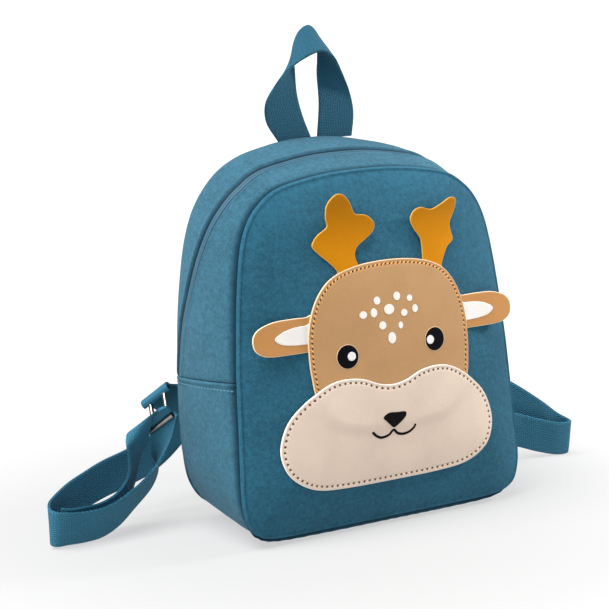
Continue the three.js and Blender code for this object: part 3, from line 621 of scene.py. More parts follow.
@dataclass(frozen=True)
class LeatherFinish:
    """Imitation leather with a fine grain, a pale cut edge and needle holes.

    Attributes:
        name: material name.
        colour: middle colour, linear.
        edge: colour of the cut edge, linear.
        roughness: middle roughness.
        pitch: distance between needle holes in millimetres, or 0 for none.
        inset: distance of the holes from the edge, in millimetres.
        hole: colour inside the needle holes, painted shade where light doesn't reach in.
        hole_size: radius of a hole in millimetres.
        specular: even specular level.
        top_shade: colour factor towards the top of the piece, a painted shade; 1 for none.
        top_from, top_to: heights between which that painted shade comes in, in metres.
    """

    name: str
    colour: Colour
    edge: Colour
    roughness: float = 0.5
    pitch: float = 0.0
    inset: float = 2.6
    hole: Colour = (0.05, 0.03, 0.02)
    hole_size: float = 0.45
    specular: float = 0.2
    top_shade: float = 1.0
    top_from: float = 0.175
    top_to: float = 0.22

    def build(self) -> Material:
        """The finished material."""
        sh = Shader(self.name, roughness=self.roughness, specular=self.specular)
        point = sh.coords.outputs["Object"]
        u, v = sh.uv()
        grain = sh.cells(point, scale=1350)
        pores = sh.noise(point, scale=2600, detail=2.0)
        cloud = sh.noise(point, scale=34, detail=3.0)
        tone = sh.span(sh.total((cloud, 0.8), (pores, 0.2)), 0.34, 0.66)
        base = sh.mix(tone, shade(self.colour, 0.96), shade(self.colour, 1.04))
        # Painted shade: darker towards the top of the piece, as on the antlers, whose tips curl forward out
        # of the light.
        if self.top_shade != 1.0:
            rise = sh.span(sh.split(point)[2], self.top_from, self.top_to)
            base = sh.mix(rise, base, shade(self.colour, self.top_shade))
        base = sh.mix(sh.span(v, 0.2, 0.55, 1.0, 0.0), base, self.edge)
        height = sh.math("ADD", grain, sh.math("MULTIPLY", pores, 0.4))
        normal = sh.bump(height, 0.09 * MM)
        if self.pitch:
            past = sh.math("SUBTRACT", sh.math("FRACT", sh.math("ADD", u, 0.5)), 0.5)
            near = sh.math("MULTIPLY", past, self.pitch)
            away = sh.distance(near, sh.math("SUBTRACT", v, self.inset))
            pit = sh.span(away, 0.6 * self.hole_size, 1.4 * self.hole_size, 1.0, 0.0)
            # Painted shade: the needle holes are coloured dark.
            base = sh.mix(pit, base, self.hole)
            normal = sh.bump(sh.math("SUBTRACT", 1.0, pit), 0.35 * MM, normal)
        sh.colour(base)
        sh.rough(sh.span(pores, 0.3, 0.7, self.roughness - 0.07, self.roughness + 0.09))
        sh.normal(normal)
        return sh.material


@dataclass(frozen=True)
class PrintFinish:
    """Thick print on leather: even colour, a slight gloss and a pale rim.

    Attributes:
        name: material name.
        colour: colour, linear.
        rim: colour of the outermost line, linear.
        rim_width: its width in millimetres.
        roughness: middle roughness.
    """

    name: str
    colour: Colour
    rim: Colour
    rim_width: float = 0.35
    roughness: float = 0.6

    def build(self) -> Material:
        """The finished material."""
        sh = Shader(self.name, specular=0.03)
        point = sh.coords.outputs["Object"]
        _, v = sh.uv()
        grain = sh.noise(point, scale=1600, detail=2.0)
        tone = sh.mix(sh.span(grain, 0.3, 0.7), shade(self.colour, 0.9), shade(self.colour, 1.1))
        sh.colour(sh.mix(sh.span(v, 0.5 * self.rim_width, self.rim_width, 1.0, 0.0), tone, self.rim))
        sh.rough(sh.span(grain, 0.3, 0.7, self.roughness - 0.05, self.roughness + 0.08))
        sh.normal(sh.bump(grain, 0.05 * MM))
        return sh.material


@dataclass(frozen=True)
class ThreadFinish:
    """Twisted sewing thread.

    Attributes:
        name: material name.
        colour: colour, linear.
    """

    name: str
    colour: Colour

    def build(self) -> Material:
        """The finished material."""
        sh = Shader(self.name, roughness=0.6)
        strand = sh.noise(sh.coords.outputs["Object"], scale=3200, detail=2.0)
        sh.colour(sh.mix(sh.span(strand, 0.35, 0.65), shade(self.colour, 0.7), shade(self.colour, 1.2)))
        sh.normal(sh.bump(strand, 0.12 * MM))
        return sh.material


@dataclass(frozen=True)
class MetalFinish:
    """Plated metal with fine scuffs, its colour kept dark as a painted reflection of dark surroundings.

    Attributes:
        name: material name.
        colour: reflection colour, linear, darkened to paint in the dark surroundings that the metal reflects.
        roughness: middle roughness.
    """

    name: str
    colour: Colour
    roughness: float = 0.16

    def build(self) -> Material:
        """The finished material."""
        sh = Shader(self.name, metallic=1.0)
        scuff = sh.noise(sh.coords.outputs["Object"], scale=420, detail=4.0, roughness=0.7)
        sh.colour(sh.mix(sh.span(scuff, 0.4, 0.75), self.colour, shade(self.colour, 0.72)))
        sh.rough(sh.span(scuff, 0.3, 0.75, self.roughness - 0.06, self.roughness + 0.14))
        sh.normal(sh.bump(scuff, 0.03 * MM))
        return sh.material


@dataclass(frozen=True)
class ZipFinish:
    """Woven zip tape, with painted shade where it goes under the cloth, and its moulded coil.

    Attributes:
        name: material name.
        colour: colour, linear.
        front_shade: distance in front of the middle from which the tape is painted dark with shade, in
            millimetres.
        back_shade: the same behind the middle, or 0 for no painted shade.
        roughness: middle roughness.
    """

    name: str
    colour: Colour
    front_shade: float = 0.0
    back_shade: float = 0.0
    roughness: float = 0.5

    def build(self) -> Material:
        """The finished material."""
        sh = Shader(self.name, specular=0.3)
        grain = sh.noise(sh.coords.outputs["Object"], scale=1400, detail=3.0)
        base = sh.mix(sh.span(grain, 0.3, 0.7), shade(self.colour, 0.85), shade(self.colour, 1.15))
        # Painted shade: both edges of the tape turn dark where they run into the shaded folds of the cloth.
        if self.back_shade:
            _, v = sh.uv()
            dark = seam_shadow(self.colour, 0.1, 1.5)
            soft = 0.3
            base = sh.mix(sh.span(v, self.back_shade - soft, self.back_shade + soft), base, dark)
            base = sh.mix(sh.span(v, -self.front_shade - soft, -self.front_shade + soft, 1.0, 0.0), base, dark)
        sh.colour(base)
        sh.rough(sh.span(grain, 0.3, 0.7, self.roughness - 0.06, self.roughness + 0.12))
        sh.normal(sh.bump(grain, 0.1 * MM))
        return sh.material


def built(finish: Any) -> Any:
    """A field that holds the material of a finish, built when the set of finishes is made."""
    return field(default_factory=finish.build)


@dataclass
class Finishes:
    """Every finish of the object, each built once."""

    front: Material = built(CanvasFinish("front_canvas", (0.020, 0.106, 0.168)))
    # The side cloth gets painted shade along its seams.
    side: Material = built(CanvasFinish("side_canvas", (0.038, 0.128, 0.188), painted_seam_shade=0.2))
    # Straps and handle are one webbing; the handle's copy is darker, with painted shade.
    strap: Material = built(WebbingFinish("strap_webbing", (0.034, 0.165, 0.255)))
    handle: Material = built(WebbingFinish("handle_webbing", (0.018, 0.106, 0.170)))
    zip: Material = built(ZipFinish("zip_tape_nylon", (0.050, 0.132, 0.190), front_shade=2.2, back_shade=1.5))
    coil: Material = built(ZipFinish("zip_coil_nylon", (0.045, 0.13, 0.19)))
    # Painted reflection: the metal's colour is kept dark, as if it reflected a dark room.
    metal: Material = built(MetalFinish("plated_metal", (0.33, 0.30, 0.28)))
    head: Material = built(LeatherFinish(
        "head_leather", (0.455, 0.258, 0.114), (0.80, 0.56, 0.36), pitch=3.3,
        hole=(0.06, 0.02, 0.006), hole_size=0.65))
    muzzle: Material = built(LeatherFinish(
        "muzzle_leather", (0.70, 0.565, 0.46), (0.92, 0.84, 0.76), pitch=4.2,
        hole=(0.10, 0.040, 0.022), hole_size=0.8))
    # The antlers get painted shade towards their tops.
    antler: Material = built(LeatherFinish(
        "antler_leather", (0.60, 0.225, 0.004), (0.66, 0.36, 0.07), specular=0.04, top_shade=0.6))
    ear: Material = built(LeatherFinish("ear_leather", (0.50, 0.235, 0.075), (0.86, 0.70, 0.48)))
    white: Material = built(LeatherFinish("white_leather", (0.80, 0.765, 0.73), (0.84, 0.80, 0.76)))
    spot: Material = built(PrintFinish(
        "white_print", (0.84, 0.79, 0.74), (0.50, 0.33, 0.18), rim_width=0.3, roughness=0.45))
    glint: Material = built(PrintFinish(
        "glint_print", (0.78, 0.77, 0.76), (0.30, 0.29, 0.28), rim_width=0.25))
    eye: Material = built(PrintFinish(
        "eye_print", (0.004, 0.004, 0.006), (0.66, 0.46, 0.30), rim_width=0.5))
    mark: Material = built(PrintFinish("mark_print", (0.006, 0.006, 0.007), (0.012, 0.012, 0.012)))
    head_thread: Material = built(ThreadFinish("head_thread", (0.95, 0.40, 0.09)))
    muzzle_thread: Material = built(ThreadFinish("muzzle_thread", (0.86, 0.70, 0.56)))
    body_thread: Material = built(ThreadFinish("body_thread", (0.07, 0.20, 0.28)))


# Body shape shared by the cloth and by what lies on it


@dataclass(frozen=True)
class OutlineRow:
    """One row of the body's outline, as shares of half its width and of each panel's height."""

    front_side: float
    front_up: float
    back_side: float
    back_up: float
    puff: float


BODY_ROWS = tuple(OutlineRow(*row) for row in (
    (0, 0.0065, 0, 0, 1.1),
    (0.47, 0.0065, 0.39, 0, 1.1),
    (0.82, 0.009, 0.635, 0.008, 0.6),
    (0.955, 0.027, 0.795, 0.037, 0),
    (1.01, 0.06, 0.888, 0.09, -0.1),
    (1.036, 0.12, 0.925, 0.15, 0.4),
    (1.03, 0.21, 0.94, 0.23, 0.9),
    (1.02, 0.3, 0.944, 0.32, 1),
    (1.005, 0.448, 0.944, 0.397, 1),
    (0.989, 0.54, 0.935, 0.54, 1),
    (0.965, 0.65, 0.911, 0.65, 1),
    (0.935, 0.75, 0.874, 0.75, 1),
    (0.897, 0.83, 0.818, 0.83, 0.9),
    (0.836, 0.89, 0.734, 0.89, 0.8),
    (0.757, 0.93, 0.626, 0.935, 0.8),
    (0.636, 0.965, 0.486, 0.965, 0.8),
    (0.449, 0.985, 0.318, 0.985, 0.7),
    (0.224, 0.997, 0.159, 0.997, 0.7),
    (0, 1, 0, 1, 0.7),
))
TOP_ROW = len(BODY_ROWS) - 1
ROUND = 2 * TOP_ROW
SEAM_ROW = 8
# Steps round the front rim, and rows from one point to the next where the way along is needed
RIM_STEPS = 1440
ROW_STEP = 0.1


@dataclass
class BodyShape:
    """Sizes and surfaces of the sewn body, in metres."""

    width: float = 0.214
    depth: float = 0.089
    front_height: float = 0.229
    back_height: float = 0.243
    seam_lift: float = 0.0035
    lean: float = math.tan(math.radians(6.15))
    bulge_depth: float = 0.019
    bulge_roundness: float = 2.6
    bulge_fullness: float = 0.8
    puff: float = 0.008
    back_shift: float = -0.004
    puff_skew: float = 0.6
    cloth: float = 0.002
    gap: float = 0.0003
    zip_low: float = 0.87
    zip_high: float = 0.345

    def __post_init__(self) -> None:
        """Works out the outline's points and the front rim as angle and reach."""
        half = self.width / 2
        rows = [(1, row) for row in BODY_ROWS] + [(-1, row) for row in BODY_ROWS[TOP_ROW - 1:0:-1]]
        self.front_points = np.array([
            (s * r.front_side * half, r.puff, self.seam_lift + r.front_up * self.front_height)
            for s, r in rows])
        self.back_points = np.array([
            (self.back_shift + s * r.back_side * half, r.puff, self.seam_lift + r.back_up * self.back_height)
            for s, r in rows])
        self.middle = np.array([0.0, self.seam_lift + self.front_height / 2])
        rim = self.front(even_round(ROUND, RIM_STEPS))
        across, up = rim[:, 0] - self.middle[0], rim[:, 2] - self.middle[1]
        order = np.argsort(np.arctan2(up, across))
        angle, reach = np.arctan2(up, across)[order], np.hypot(across, up)[order]
        self.rim_angle = np.concatenate([angle - 2 * np.pi, angle, angle + 2 * np.pi])
        self.rim_reach = np.tile(reach, 3)

    @property
    def back_plane(self) -> float:
        """Depth of the outer face of the back panel."""
        return self.depth / 2

    @property
    def far_edge(self) -> float:
        """Depth at which the side bands end at the back."""
        return self.back_plane - self.cloth - self.gap

    def front(self, rows: Array) -> Array:
        """Points of the front outline, with the puff share as their middle value."""
        return smooth_curve(self.front_points, np.mod(np.atleast_1d(rows), ROUND) / ROUND, closed=True)

    def back(self, rows: Array) -> Array:
        """Points of the back outline, with the puff share as their middle value."""
        return smooth_curve(self.back_points, np.mod(np.atleast_1d(rows), ROUND) / ROUND, closed=True)

    def front_plane(self, z: Array) -> Array:
        """Depth of the leaning plane that holds the front seam."""
        return -self.depth / 2 + z * self.lean

    def near_edge(self, rows: Array) -> Array:
        """Depth at which the side bands start behind the front panel."""
        return self.front_plane(self.front(rows)[:, 2]) + self.cloth + self.gap

    def zip_line(self, rows: Array) -> Array:
        """Depth of the middle of the zip at each row."""
        low, high = self.front(np.array([SEAM_ROW, SEAM_ROW + 6]))[:, 2]
        rise = np.clip((self.front(rows)[:, 2] - low) / (high - low), 0, 1)
        share = self.zip_low + (self.zip_high - self.zip_low) * rise
        near = self.near_edge(rows)
        return near + (self.far_edge - near) * share

    def gusset(self, rows: Array, depths: Array) -> tuple[Array, Array]:
        """Points of the side band's outer face and the ways out of it.

        Args:
            rows: places round the outline.
            depths: depth of each point, as rows by columns.

        Returns:
            Points and unit directions, each as rows by columns by 3.
        """
        f, b = self.front(rows)[:, None, :], self.back(rows)[:, None, :]
        start = self.front_plane(f[..., 2]) + self.cloth
        share = np.clip((depths - start) / (self.back_plane - self.cloth - start), 0, 1)
        mix = share[..., None]
        here = f + (b - f) * mix
        fa, ba = self.front(rows + ROW_STEP)[:, None, :], self.back(rows + ROW_STEP)[:, None, :]
        ahead = fa + (ba - fa) * mix
        rise, inside = ahead[..., 2] - here[..., 2], here[..., 0] - ahead[..., 0]
        out = unit(np.stack([rise, np.zeros_like(share), inside], -1))
        skew = self.puff_skew
        crest = (1 / (1 + skew)) * (skew / (1 + skew)) ** skew
        puff = self.puff * here[..., 1] * share * (1 - share) ** skew / crest
        face = np.stack([here[..., 0], depths, here[..., 2]], -1) + out * puff[..., None]
        return face, out

    def rim_share(self, x: Array, z: Array) -> Array:
        """Share of the way from the front panel's middle to its seam."""
        across, up = x - self.middle[0], z - self.middle[1]
        return np.hypot(across, up) / np.interp(np.arctan2(up, across), self.rim_angle, self.rim_reach)

    def bulge(self, share: Array) -> Array:
        """How far the front panel stands out of its seam's plane."""
        rest = np.maximum(0, 1 - np.clip(share, 0, 1) ** self.bulge_roundness)
        return self.bulge_depth * rest ** self.bulge_fullness

    def panel_face(self, x: Array, z: Array) -> Array:
        """Depth of the front panel's outer face."""
        return self.front_plane(z) - self.bulge(self.rim_share(x, z))


def arc_lengths(points: Array) -> Array:
    """Length along a closed line of points up to each of them, and its whole length last."""
    steps = np.linalg.norm(np.roll(points, -1, axis=0) - points, axis=1)
    return np.concatenate([[0], np.cumsum(steps)])


def inward(points: Array) -> Array:
    """Unit directions into a closed flat outline that runs anticlockwise."""
    along = unit(np.roll(points, -1, axis=0) - np.roll(points, 1, axis=0))
    return np.stack([-along[:, 1], along[:, 0]], -1)


@dataclass(frozen=True)
class Ridge:
    """A soft ridge that runs along a seam, or a ditch where it is taken off, in millimetres.

    Attributes:
        height: of its crest over the cloth.
        at: distance of its crest from the edge.
        width: how far it reaches to both sides.
    """

    height: float
    at: float
    width: float

    def over(self, distance: Array) -> Array:
        """Its height at each distance from the edge, in metres."""
        return self.height * MM * np.exp(-((distance - self.at * MM) / (self.width * MM)) ** 2)


@dataclass(frozen=True)
class Crease:
    """Cloth drawn in right at an edge, in millimetres.

    Attributes:
        depth: how deep it is at the edge.
        reach: the distance in which most of it is gone.
    """

    depth: float
    reach: float

    def over(self, distance: Array) -> Array:
        """Its depth at each distance from the edge, in metres."""
        return self.depth * MM * np.exp(-distance / (self.reach * MM))


@dataclass(frozen=True)
class Waves:
    """Uneven waves of cloth.

    Attributes:
        height: of the waves, in millimetres.
        length: of a typical wave, in metres.
        seed: moves the pattern.
        base: 0 for waves up and down, 1 for waves to one side.
    """

    height: float
    length: float
    seed: float
    base: float = 0.0

    def over(self, u: Array, v: Array) -> Array:
        """Their height at places on the cloth, in metres."""
        return self.height * MM * (self.base + ripple(u, v, self.length, self.seed))


@dataclass(frozen=True)
class Puckers:
    """Small gathers along a seam, at uneven distances, in millimetres.

    Attributes:
        height: of the gathers.
        pitch: mean distance between two of them.
        drift: how fast that distance changes along the seam.
    """

    height: float
    pitch: float
    drift: float

    def over(self, run: Array) -> Array:
        """Their height at distances along the seam, in metres."""
        turn = 2 * np.pi * run / (self.pitch * MM) + 2 * np.sin(run / (self.drift * MM))
        return self.height * MM * np.sin(turn)


# Distances of the first rings of each panel from its edge, in millimetres
FRONT_INSETS = (0, 0.25, 0.55, 0.9, 1.3, 1.8, 2.4, 3.1, 3.9, 5, 6.5, 8.5, 11)
BACK_INSETS = (0, 0.3, 0.7, 1.2, 1.8, 2.6, 3.5, 4.6, 6, 8, 11)


@dataclass
class ClothBody:
    """Front and back panels, side bands and zip of the bag."""

    shape: BodyShape
    finishes: Finishes
    around: int = 432
    front_rings: int = 30
    back_rings: int = 24
    front_roll: Ridge = Ridge(1.0, 0.9, 0.8)
    front_ditch: Ridge = Ridge(0.12, 3.4, 1.3)
    front_pucker: Waves = Waves(0.16, 0.013, 1.0)
    front_sag: Waves = Waves(0.45, 0.085, 2.0)
    back_edge: Ridge = Ridge(0.9, 0.0, 0.7)
    back_ditch: Ridge = Ridge(0.4, 3.6, 1.1)
    back_pucker: Waves = Waves(0.14, 0.012, 3.0, 1.0)
    back_sag: Waves = Waves(0.25, 0.09, 4.0, 1.0)
    crease: float = 0.0031
    crease_width: float = 0.0028
    back_crease: Crease = Crease(0.9, 1.3)
    end_fold: Ridge = Ridge(0.55, 1.2, 1.1)
    end_edge: Crease = Crease(0.3, 0.3)
    end_ditch: Ridge = Ridge(0.35, 3.4, 0.8)
    end_tuck: Crease = Crease(0.7, 1.6)
    lower_pucker: Puckers = Puckers(0.2, 9, 17)
    upper_pucker: Puckers = Puckers(0.13, 11, 19)
    zip_roll: Ridge = Ridge(0.7, 1.7, 1.4)
    zip_edge: Ridge = Ridge(1.1, 0.0, 0.7)
    upper_gap: float = 0.02
    zip_width: float = 0.006
    zip_sink: float = 0.0006
    tooth_pitch: float = 0.0015

    def panel_rings(self, rim: Array, hub: Array, insets: Sequence[float], rings: int) -> tuple[Array, Array]:
        """Rings from a flat outline to its hub.

        Args:
            rim: the outline, points by 2.
            hub: its middle.
            insets: distances from the rim of the first rings.
            rings: how many rings follow up to the hub.

        Returns:
            Rings by points by 2, and the distance from the rim of each ring.
        """
        into = inward(rim)
        near = [rim + into * d for d in insets]
        shares = np.linspace(0, 1, rings + 1)[1:-1]
        far = [near[-1] + (hub - near[-1]) * s for s in shares]
        reach = float(np.mean(np.linalg.norm(rim - hub, axis=1)))
        depth = [*insets, *(insets[-1] + (reach - insets[-1]) * s for s in shares)]
        return np.stack(near + far), np.array(depth)

    def add_front(self) -> None:
        """Domed front panel with its turned seam."""
        s = self.shape
        rim = s.front(even_round(ROUND, self.around))[:, [0, 2]]
        flat, depth = self.panel_rings(rim, s.middle, [k * MM for k in FRONT_INSETS], self.front_rings)
        x, z = flat[..., 0], flat[..., 1]
        far = depth[:, None]
        pucker = self.front_pucker.over(x, z) * np.exp(-far / (9 * MM)) * smooth_step(far, 0, 2 * MM)
        sag = self.front_sag.over(x, z) * smooth_step(far, 4 * MM, 30 * MM)
        y = s.panel_face(x, z) - self.front_roll.over(far) + self.front_ditch.over(far) + pucker + sag
        outer = np.stack([x, y, z], -1)
        low_turn, high_turn, tuck = 1.1 * MM, 0.5 * MM, 1.9 * MM
        turned = [np.stack([rim[:, 0], y[0] + d, rim[:, 1]], -1) for d in (low_turn, high_turn)]
        tucked = np.stack([x[2], y[0] + tuck, z[2]], -1)
        under = [np.stack([x[k], y[k] + s.cloth, z[k]], -1) for k in range(len(depth) - 1, 4, -4)]
        rings = np.stack([*under, tucked, *turned, *outer])
        uv = np.stack([rings[..., 0], rings[..., 2]], -1) / MM
        uv = np.concatenate([uv, uv[:, :1]], 1)
        top = np.array([s.middle[0], y[-1].mean(), s.middle[1]])
        piece = ring_solid("front_panel_cloth", rings, uv, top + (0, s.cloth, 0), top, CLOTH_ANGLE)
        place(piece, self.finishes.front, Slot.BODY, "front_panel")

    def add_back(self) -> None:
        """Flat back panel with its turned seam."""
        s = self.shape
        rim = s.back(even_round(ROUND, self.around))[:, [0, 2]]
        hub = np.array([0.0, s.seam_lift + s.back_height / 2])
        flat, depth = self.panel_rings(rim, hub, [k * MM for k in BACK_INSETS], self.back_rings)
        x, z = flat[..., 0], flat[..., 1]
        far = depth[:, None]
        drop = self.back_edge.over(far) + self.back_ditch.over(far)
        pucker = self.back_pucker.over(x, z) * np.exp(-far / (8 * MM))
        sag = self.back_sag.over(x, z) * smooth_step(far, 4 * MM, 30 * MM)
        y = s.back_plane - drop - pucker - sag
        outer = np.stack([x, y, z], -1)
        inside = np.full(len(rim), s.back_plane - s.cloth)
        edge = np.stack([rim[:, 0], inside, rim[:, 1]], -1)
        under = [np.stack([x[k], inside, z[k]], -1) for k in range(len(depth) - 1, 2, -6)]
        rings = np.stack([*under, edge, *outer])
        uv = np.stack([rings[..., 0], rings[..., 2]], -1) / MM
        uv = np.concatenate([uv, uv[:, :1]], 1)
        top = np.array([hub[0], y[-1].mean(), hub[1]])
        piece = ring_solid("back_panel_cloth", rings, uv, top - (0, s.cloth, 0), top, CLOTH_ANGLE)
        place(piece, self.finishes.front, Slot.BODY, "back_panel")

    def over_top(self, start: Array, end: Array) -> Array:
        """0 near the ends of an upper band and 1 where it runs over the top of the bag."""
        return smooth_step(np.minimum(start, end), 90 * MM, 170 * MM)

    def band(self, name: str, rows: Array, near: Array, far: Array, columns: int, relief: Callable,
             seed: float, roll: float = 0.0, shade_offset: float = 0.0) -> Thing:
        """A cloth strip of the side of the bag.

        Args:
            name: the object's name.
            rows: places round the outline.
            near, far: the depths of its two edges at each row.
            columns: steps between the edges.
            relief: outward offset, from the distances to both ends and to both edges.
            seed: moves its waves.
            roll: how far it swells forward behind the front seam, close to the floor.
            shade_offset: moves the painted seam shade of its near edge under the neighbour, in millimetres.

        Returns:
            The Blender object.
        """
        s = self.shape
        shares = dense_ends(columns, 0.88)[None, :]
        depths = near[:, None] + (far - near)[:, None] * shares
        face, out = s.gusset(rows, depths)
        run = run_along(face[:, columns // 2])[:, None]
        left = run[-1, 0] - run
        past, rest = depths - near[:, None], far[:, None] - depths
        waves = Waves(0.5, 0.07, seed).over(run + 0 * depths, depths)
        lift = relief(run, left, past, rest) + waves * smooth_step(np.minimum(past, rest), 0, 14 * MM)
        face = face + out * lift[..., None]
        close = smooth_step(-face[..., 2], -34 * MM, -10 * MM)
        swell = np.exp(-((past - 2.3 * MM) / (1.6 * MM)) ** 2) * close
        face[..., 1] -= roll * swell
        face[..., 2] -= 1.3 * roll * swell
        inner = face - out * s.cloth
        for grid, low in ((face, 0.0), (inner, 1.2 * MM)):
            grid[..., 2] = np.maximum(grid[..., 2], low)
        # Away from the band's ends v runs twice as fast, so the painted seam shade is narrower there; the
        # offset moves that painted shade under the neighbour.
        narrow = 1 + self.over_top(run, left) * (shade_offset == 0)
        uv = np.stack([run + 0 * depths, past * narrow], -1) / MM + (0, shade_offset)
        return sheet_solid(name, face, inner, uv)

    def add_lower(self) -> None:
        """Lower side band, which also makes the bottom."""
        s = self.shape
        rows = -SEAM_ROW + 2 * SEAM_ROW * dense_ends(360, 0.8)

        def relief(start: Array, end: Array, front: Array, back: Array) -> Array:
            """Creases at the seams, a turned edge at both ends and small puckers."""
            close = np.minimum(start, end)
            crease = -self.crease * np.exp(-front / self.crease_width) - self.back_crease.over(back)
            fold = self.end_fold.over(close) - self.end_edge.over(close)
            near_seams = np.exp(-front / (6 * MM)) + 0.6 * np.exp(-back / (6 * MM))
            return crease + fold - self.end_ditch.over(close) + self.lower_pucker.over(start) * near_seams

        piece = self.band("gusset_lower_cloth", rows, s.near_edge(rows), np.full(len(rows), s.far_edge), 44,
                          relief, 5.0, roll=2.8 * MM)
        place(piece, self.finishes.side, Slot.SIDE, "gusset_lower")

    def upper_rows(self, shares: Array) -> Array:
        """Places round the outline between both ends of the lower band, with a small gap at each."""
        return SEAM_ROW + self.upper_gap + (ROUND - 2 * SEAM_ROW - 2 * self.upper_gap) * shares

    def add_upper(self) -> None:
        """Upper side bands in front of and behind the zip."""
        s = self.shape
        rows = self.upper_rows(dense_ends(340, 0.7))
        line = s.zip_line(rows)
        half = self.zip_width / 2

        def turned(distance: Array) -> Array:
            """Soft roll of the cloth where it is turned under beside the zip."""
            return self.zip_roll.over(distance) - self.zip_edge.over(distance)

        def tucked(start: Array, end: Array) -> Array:
            """The ends dip under the lower band's edge."""
            return -self.end_tuck.over(np.minimum(start, end))

        def front_relief(start: Array, end: Array, front: Array, back: Array) -> Array:
            """Deep crease at the front seam and a roll at the zip."""
            width = self.crease_width * (1 - 0.45 * self.over_top(start, end))
            pucker = self.upper_pucker.over(start) * np.exp(-front / (7 * MM))
            return -self.crease * np.exp(-front / width) + turned(back) + tucked(start, end) + pucker

        def back_relief(start: Array, end: Array, front: Array, back: Array) -> Array:
            """Roll at the zip and a crease at the back seam."""
            return turned(front) - self.back_crease.over(back) + tucked(start, end)

        piece = self.band("gusset_front_cloth", rows, s.near_edge(rows), line - half - s.gap, 44,
                          front_relief, 6.0)
        place(piece, self.finishes.side, Slot.BODY, "gusset_upper_front")
        piece = self.band("gusset_back_cloth", rows, line + half + s.gap, np.full(len(rows), s.far_edge), 32,
                          back_relief, 7.0, shade_offset=4.5)
        place(piece, self.finishes.side, Slot.SIDE, "gusset_upper_back")

    def zip_point(self, row: float, step: float) -> tuple[Array, Array, Array]:
        """A place on the zip's middle line.

        Args:
            row: its place round the outline.
            step: rows from there to the next place, which gives the way along.

        Returns:
            The point, the way out of the side band and the way along the zip.
        """
        rows = np.array([row, row + step])
        here, way = self.shape.gusset(rows, self.shape.zip_line(rows)[:, None])
        return here[0, 0], way[0, 0], unit(here[1, 0] - here[0, 0])

    def add_zip(self) -> None:
        """Zip tape with its coil of small teeth."""
        s = self.shape
        rows = self.upper_rows(np.linspace(0, 1, 420))
        line = s.zip_line(rows)
        depths = line[:, None] + np.linspace(-0.5, 0.5, 9)[None, :] * (self.zip_width + 2 * s.gap)
        face, out = s.gusset(rows, depths)
        outer = face - out * self.zip_sink
        run = run_along(face[:, 4])
        uv = np.stack([run[:, None] + 0 * depths, depths - line[:, None]], -1) / MM
        tape = sheet_solid("zip_tape_cloth", outer, outer - out * 0.9 * MM, uv)
        place(tape, self.finishes.zip, Slot.ZIP, "zip_tape")

        size = (0.26 * self.zip_width, 0.62 * self.tooth_pitch, 0.9 * MM)
        tooth = rounded_box(size, (0, 0, 0), 0.24 * MM, 2)
        sink = self.zip_sink + 0.1 * MM
        frames = []
        for k in range(int(run[-1] / self.tooth_pitch)):
            row = np.interp((k + 0.5) * self.tooth_pitch, run, rows)
            here, up, along = self.zip_point(row, 0.02)
            across = unit(np.cross(along, up))
            frames.append(axes_matrix(here - up * sink, across, along, up))
        coil = scatter("zip_coil", tooth, frames)
        place(coil, self.finishes.coil, Slot.ZIP)

    def add_slider(self) -> None:
        """Zip slider with its bridge and pull, parked low on the right-hand side."""
        here, up, down = self.zip_point(SEAM_ROW + 1.75, -0.1)
        across = unit(np.cross(down, up))
        slider = rounded_box((7.4 * MM, 9 * MM, 1.6 * MM), (0, 0, 1.2 * MM), 0.6 * MM, 3)
        bpy.ops.object.select_all(action="DESELECT")
        bpy.ops.mesh.primitive_torus_add(location=(0, 3.2 * MM, 2.3 * MM), rotation=(0, math.pi / 2, 0),
                                         major_segments=24, minor_segments=8, major_radius=1.5 * MM,
                                         minor_radius=0.5 * MM)
        bridge = bpy.context.object
        pull = rounded_box((4.6 * MM, 17 * MM, 1.1 * MM), (0, 13.5 * MM, 1.5 * MM), 0.45 * MM, 3)
        choose(slider)
        for part in (bridge, pull):
            part.select_set(True)
        bpy.ops.object.join()
        slider.name = "zip_slider_metal"
        bpy.ops.object.transform_apply(location=True, rotation=True, scale=True)
        slider.data.transform(axes_matrix(here, across, down, up))
        close_up(slider, 35)
        place(slider, self.finishes.metal, Slot.METAL, "zip_slider")

    def add_topstitch(self) -> None:
        """Stitch rows under the ends of the lower band."""
        s = self.shape
        pitch, length = 3.1 * MM, 2.3 * MM
        frames = []
        for row in (SEAM_ROW - 0.155, 0.155 - SEAM_ROW):
            near = s.near_edge(np.array([row]))[0]
            steps = np.arange(near + 3 * MM, s.far_edge - 2 * MM, pitch)
            face, out = s.gusset(np.full(len(steps), row), steps[:, None])
            ahead, _ = s.gusset(np.full(len(steps), row), steps[:, None] + 0.5 * MM)
            for here, way, there in zip(face[:, 0], out[:, 0], ahead[:, 0]):
                along = unit(there - here)
                frames.append(axes_matrix(here - way * 0.1 * MM, along, unit(np.cross(way, along)), way))
        row_piece = scatter("gusset_stitches", Stitching().template(length), frames)
        place(row_piece, self.finishes.body_thread, Slot.SIDE)

    def build(self) -> None:
        """Every cloth piece of the body."""
        self.add_front()
        self.add_back()
        self.add_lower()
        self.add_upper()
        self.add_zip()
        self.add_slider()
        self.add_topstitch()


@dataclass
class Stitching:
    """Rows of single stitches."""

    thread: float = 0.00052

    def template(self, length: float) -> Thing:
        """One stitch lying along local X: a grain of thread with drawn-in ends."""
        bpy.ops.object.select_all(action="DESELECT")
        bpy.ops.mesh.primitive_uv_sphere_add(segments=10, ring_count=6, radius=1.0)
        stitch = bpy.context.object
        bpy.ops.object.mode_set(mode="EDIT")
        bpy.ops.transform.resize(value=(length / 2, self.thread, self.thread))
        bpy.ops.object.mode_set(mode="OBJECT")
        return stitch


# Face


@dataclass(frozen=True)
class FlatRow:
    """A point of a half or whole outline, as shares of the piece's main size."""

    side: float
    up: float


def flat_rows(*rows: tuple[float, float]) -> tuple[FlatRow, ...]:
    """Outline rows from pairs of shares."""
    return tuple(FlatRow(*row) for row in rows)


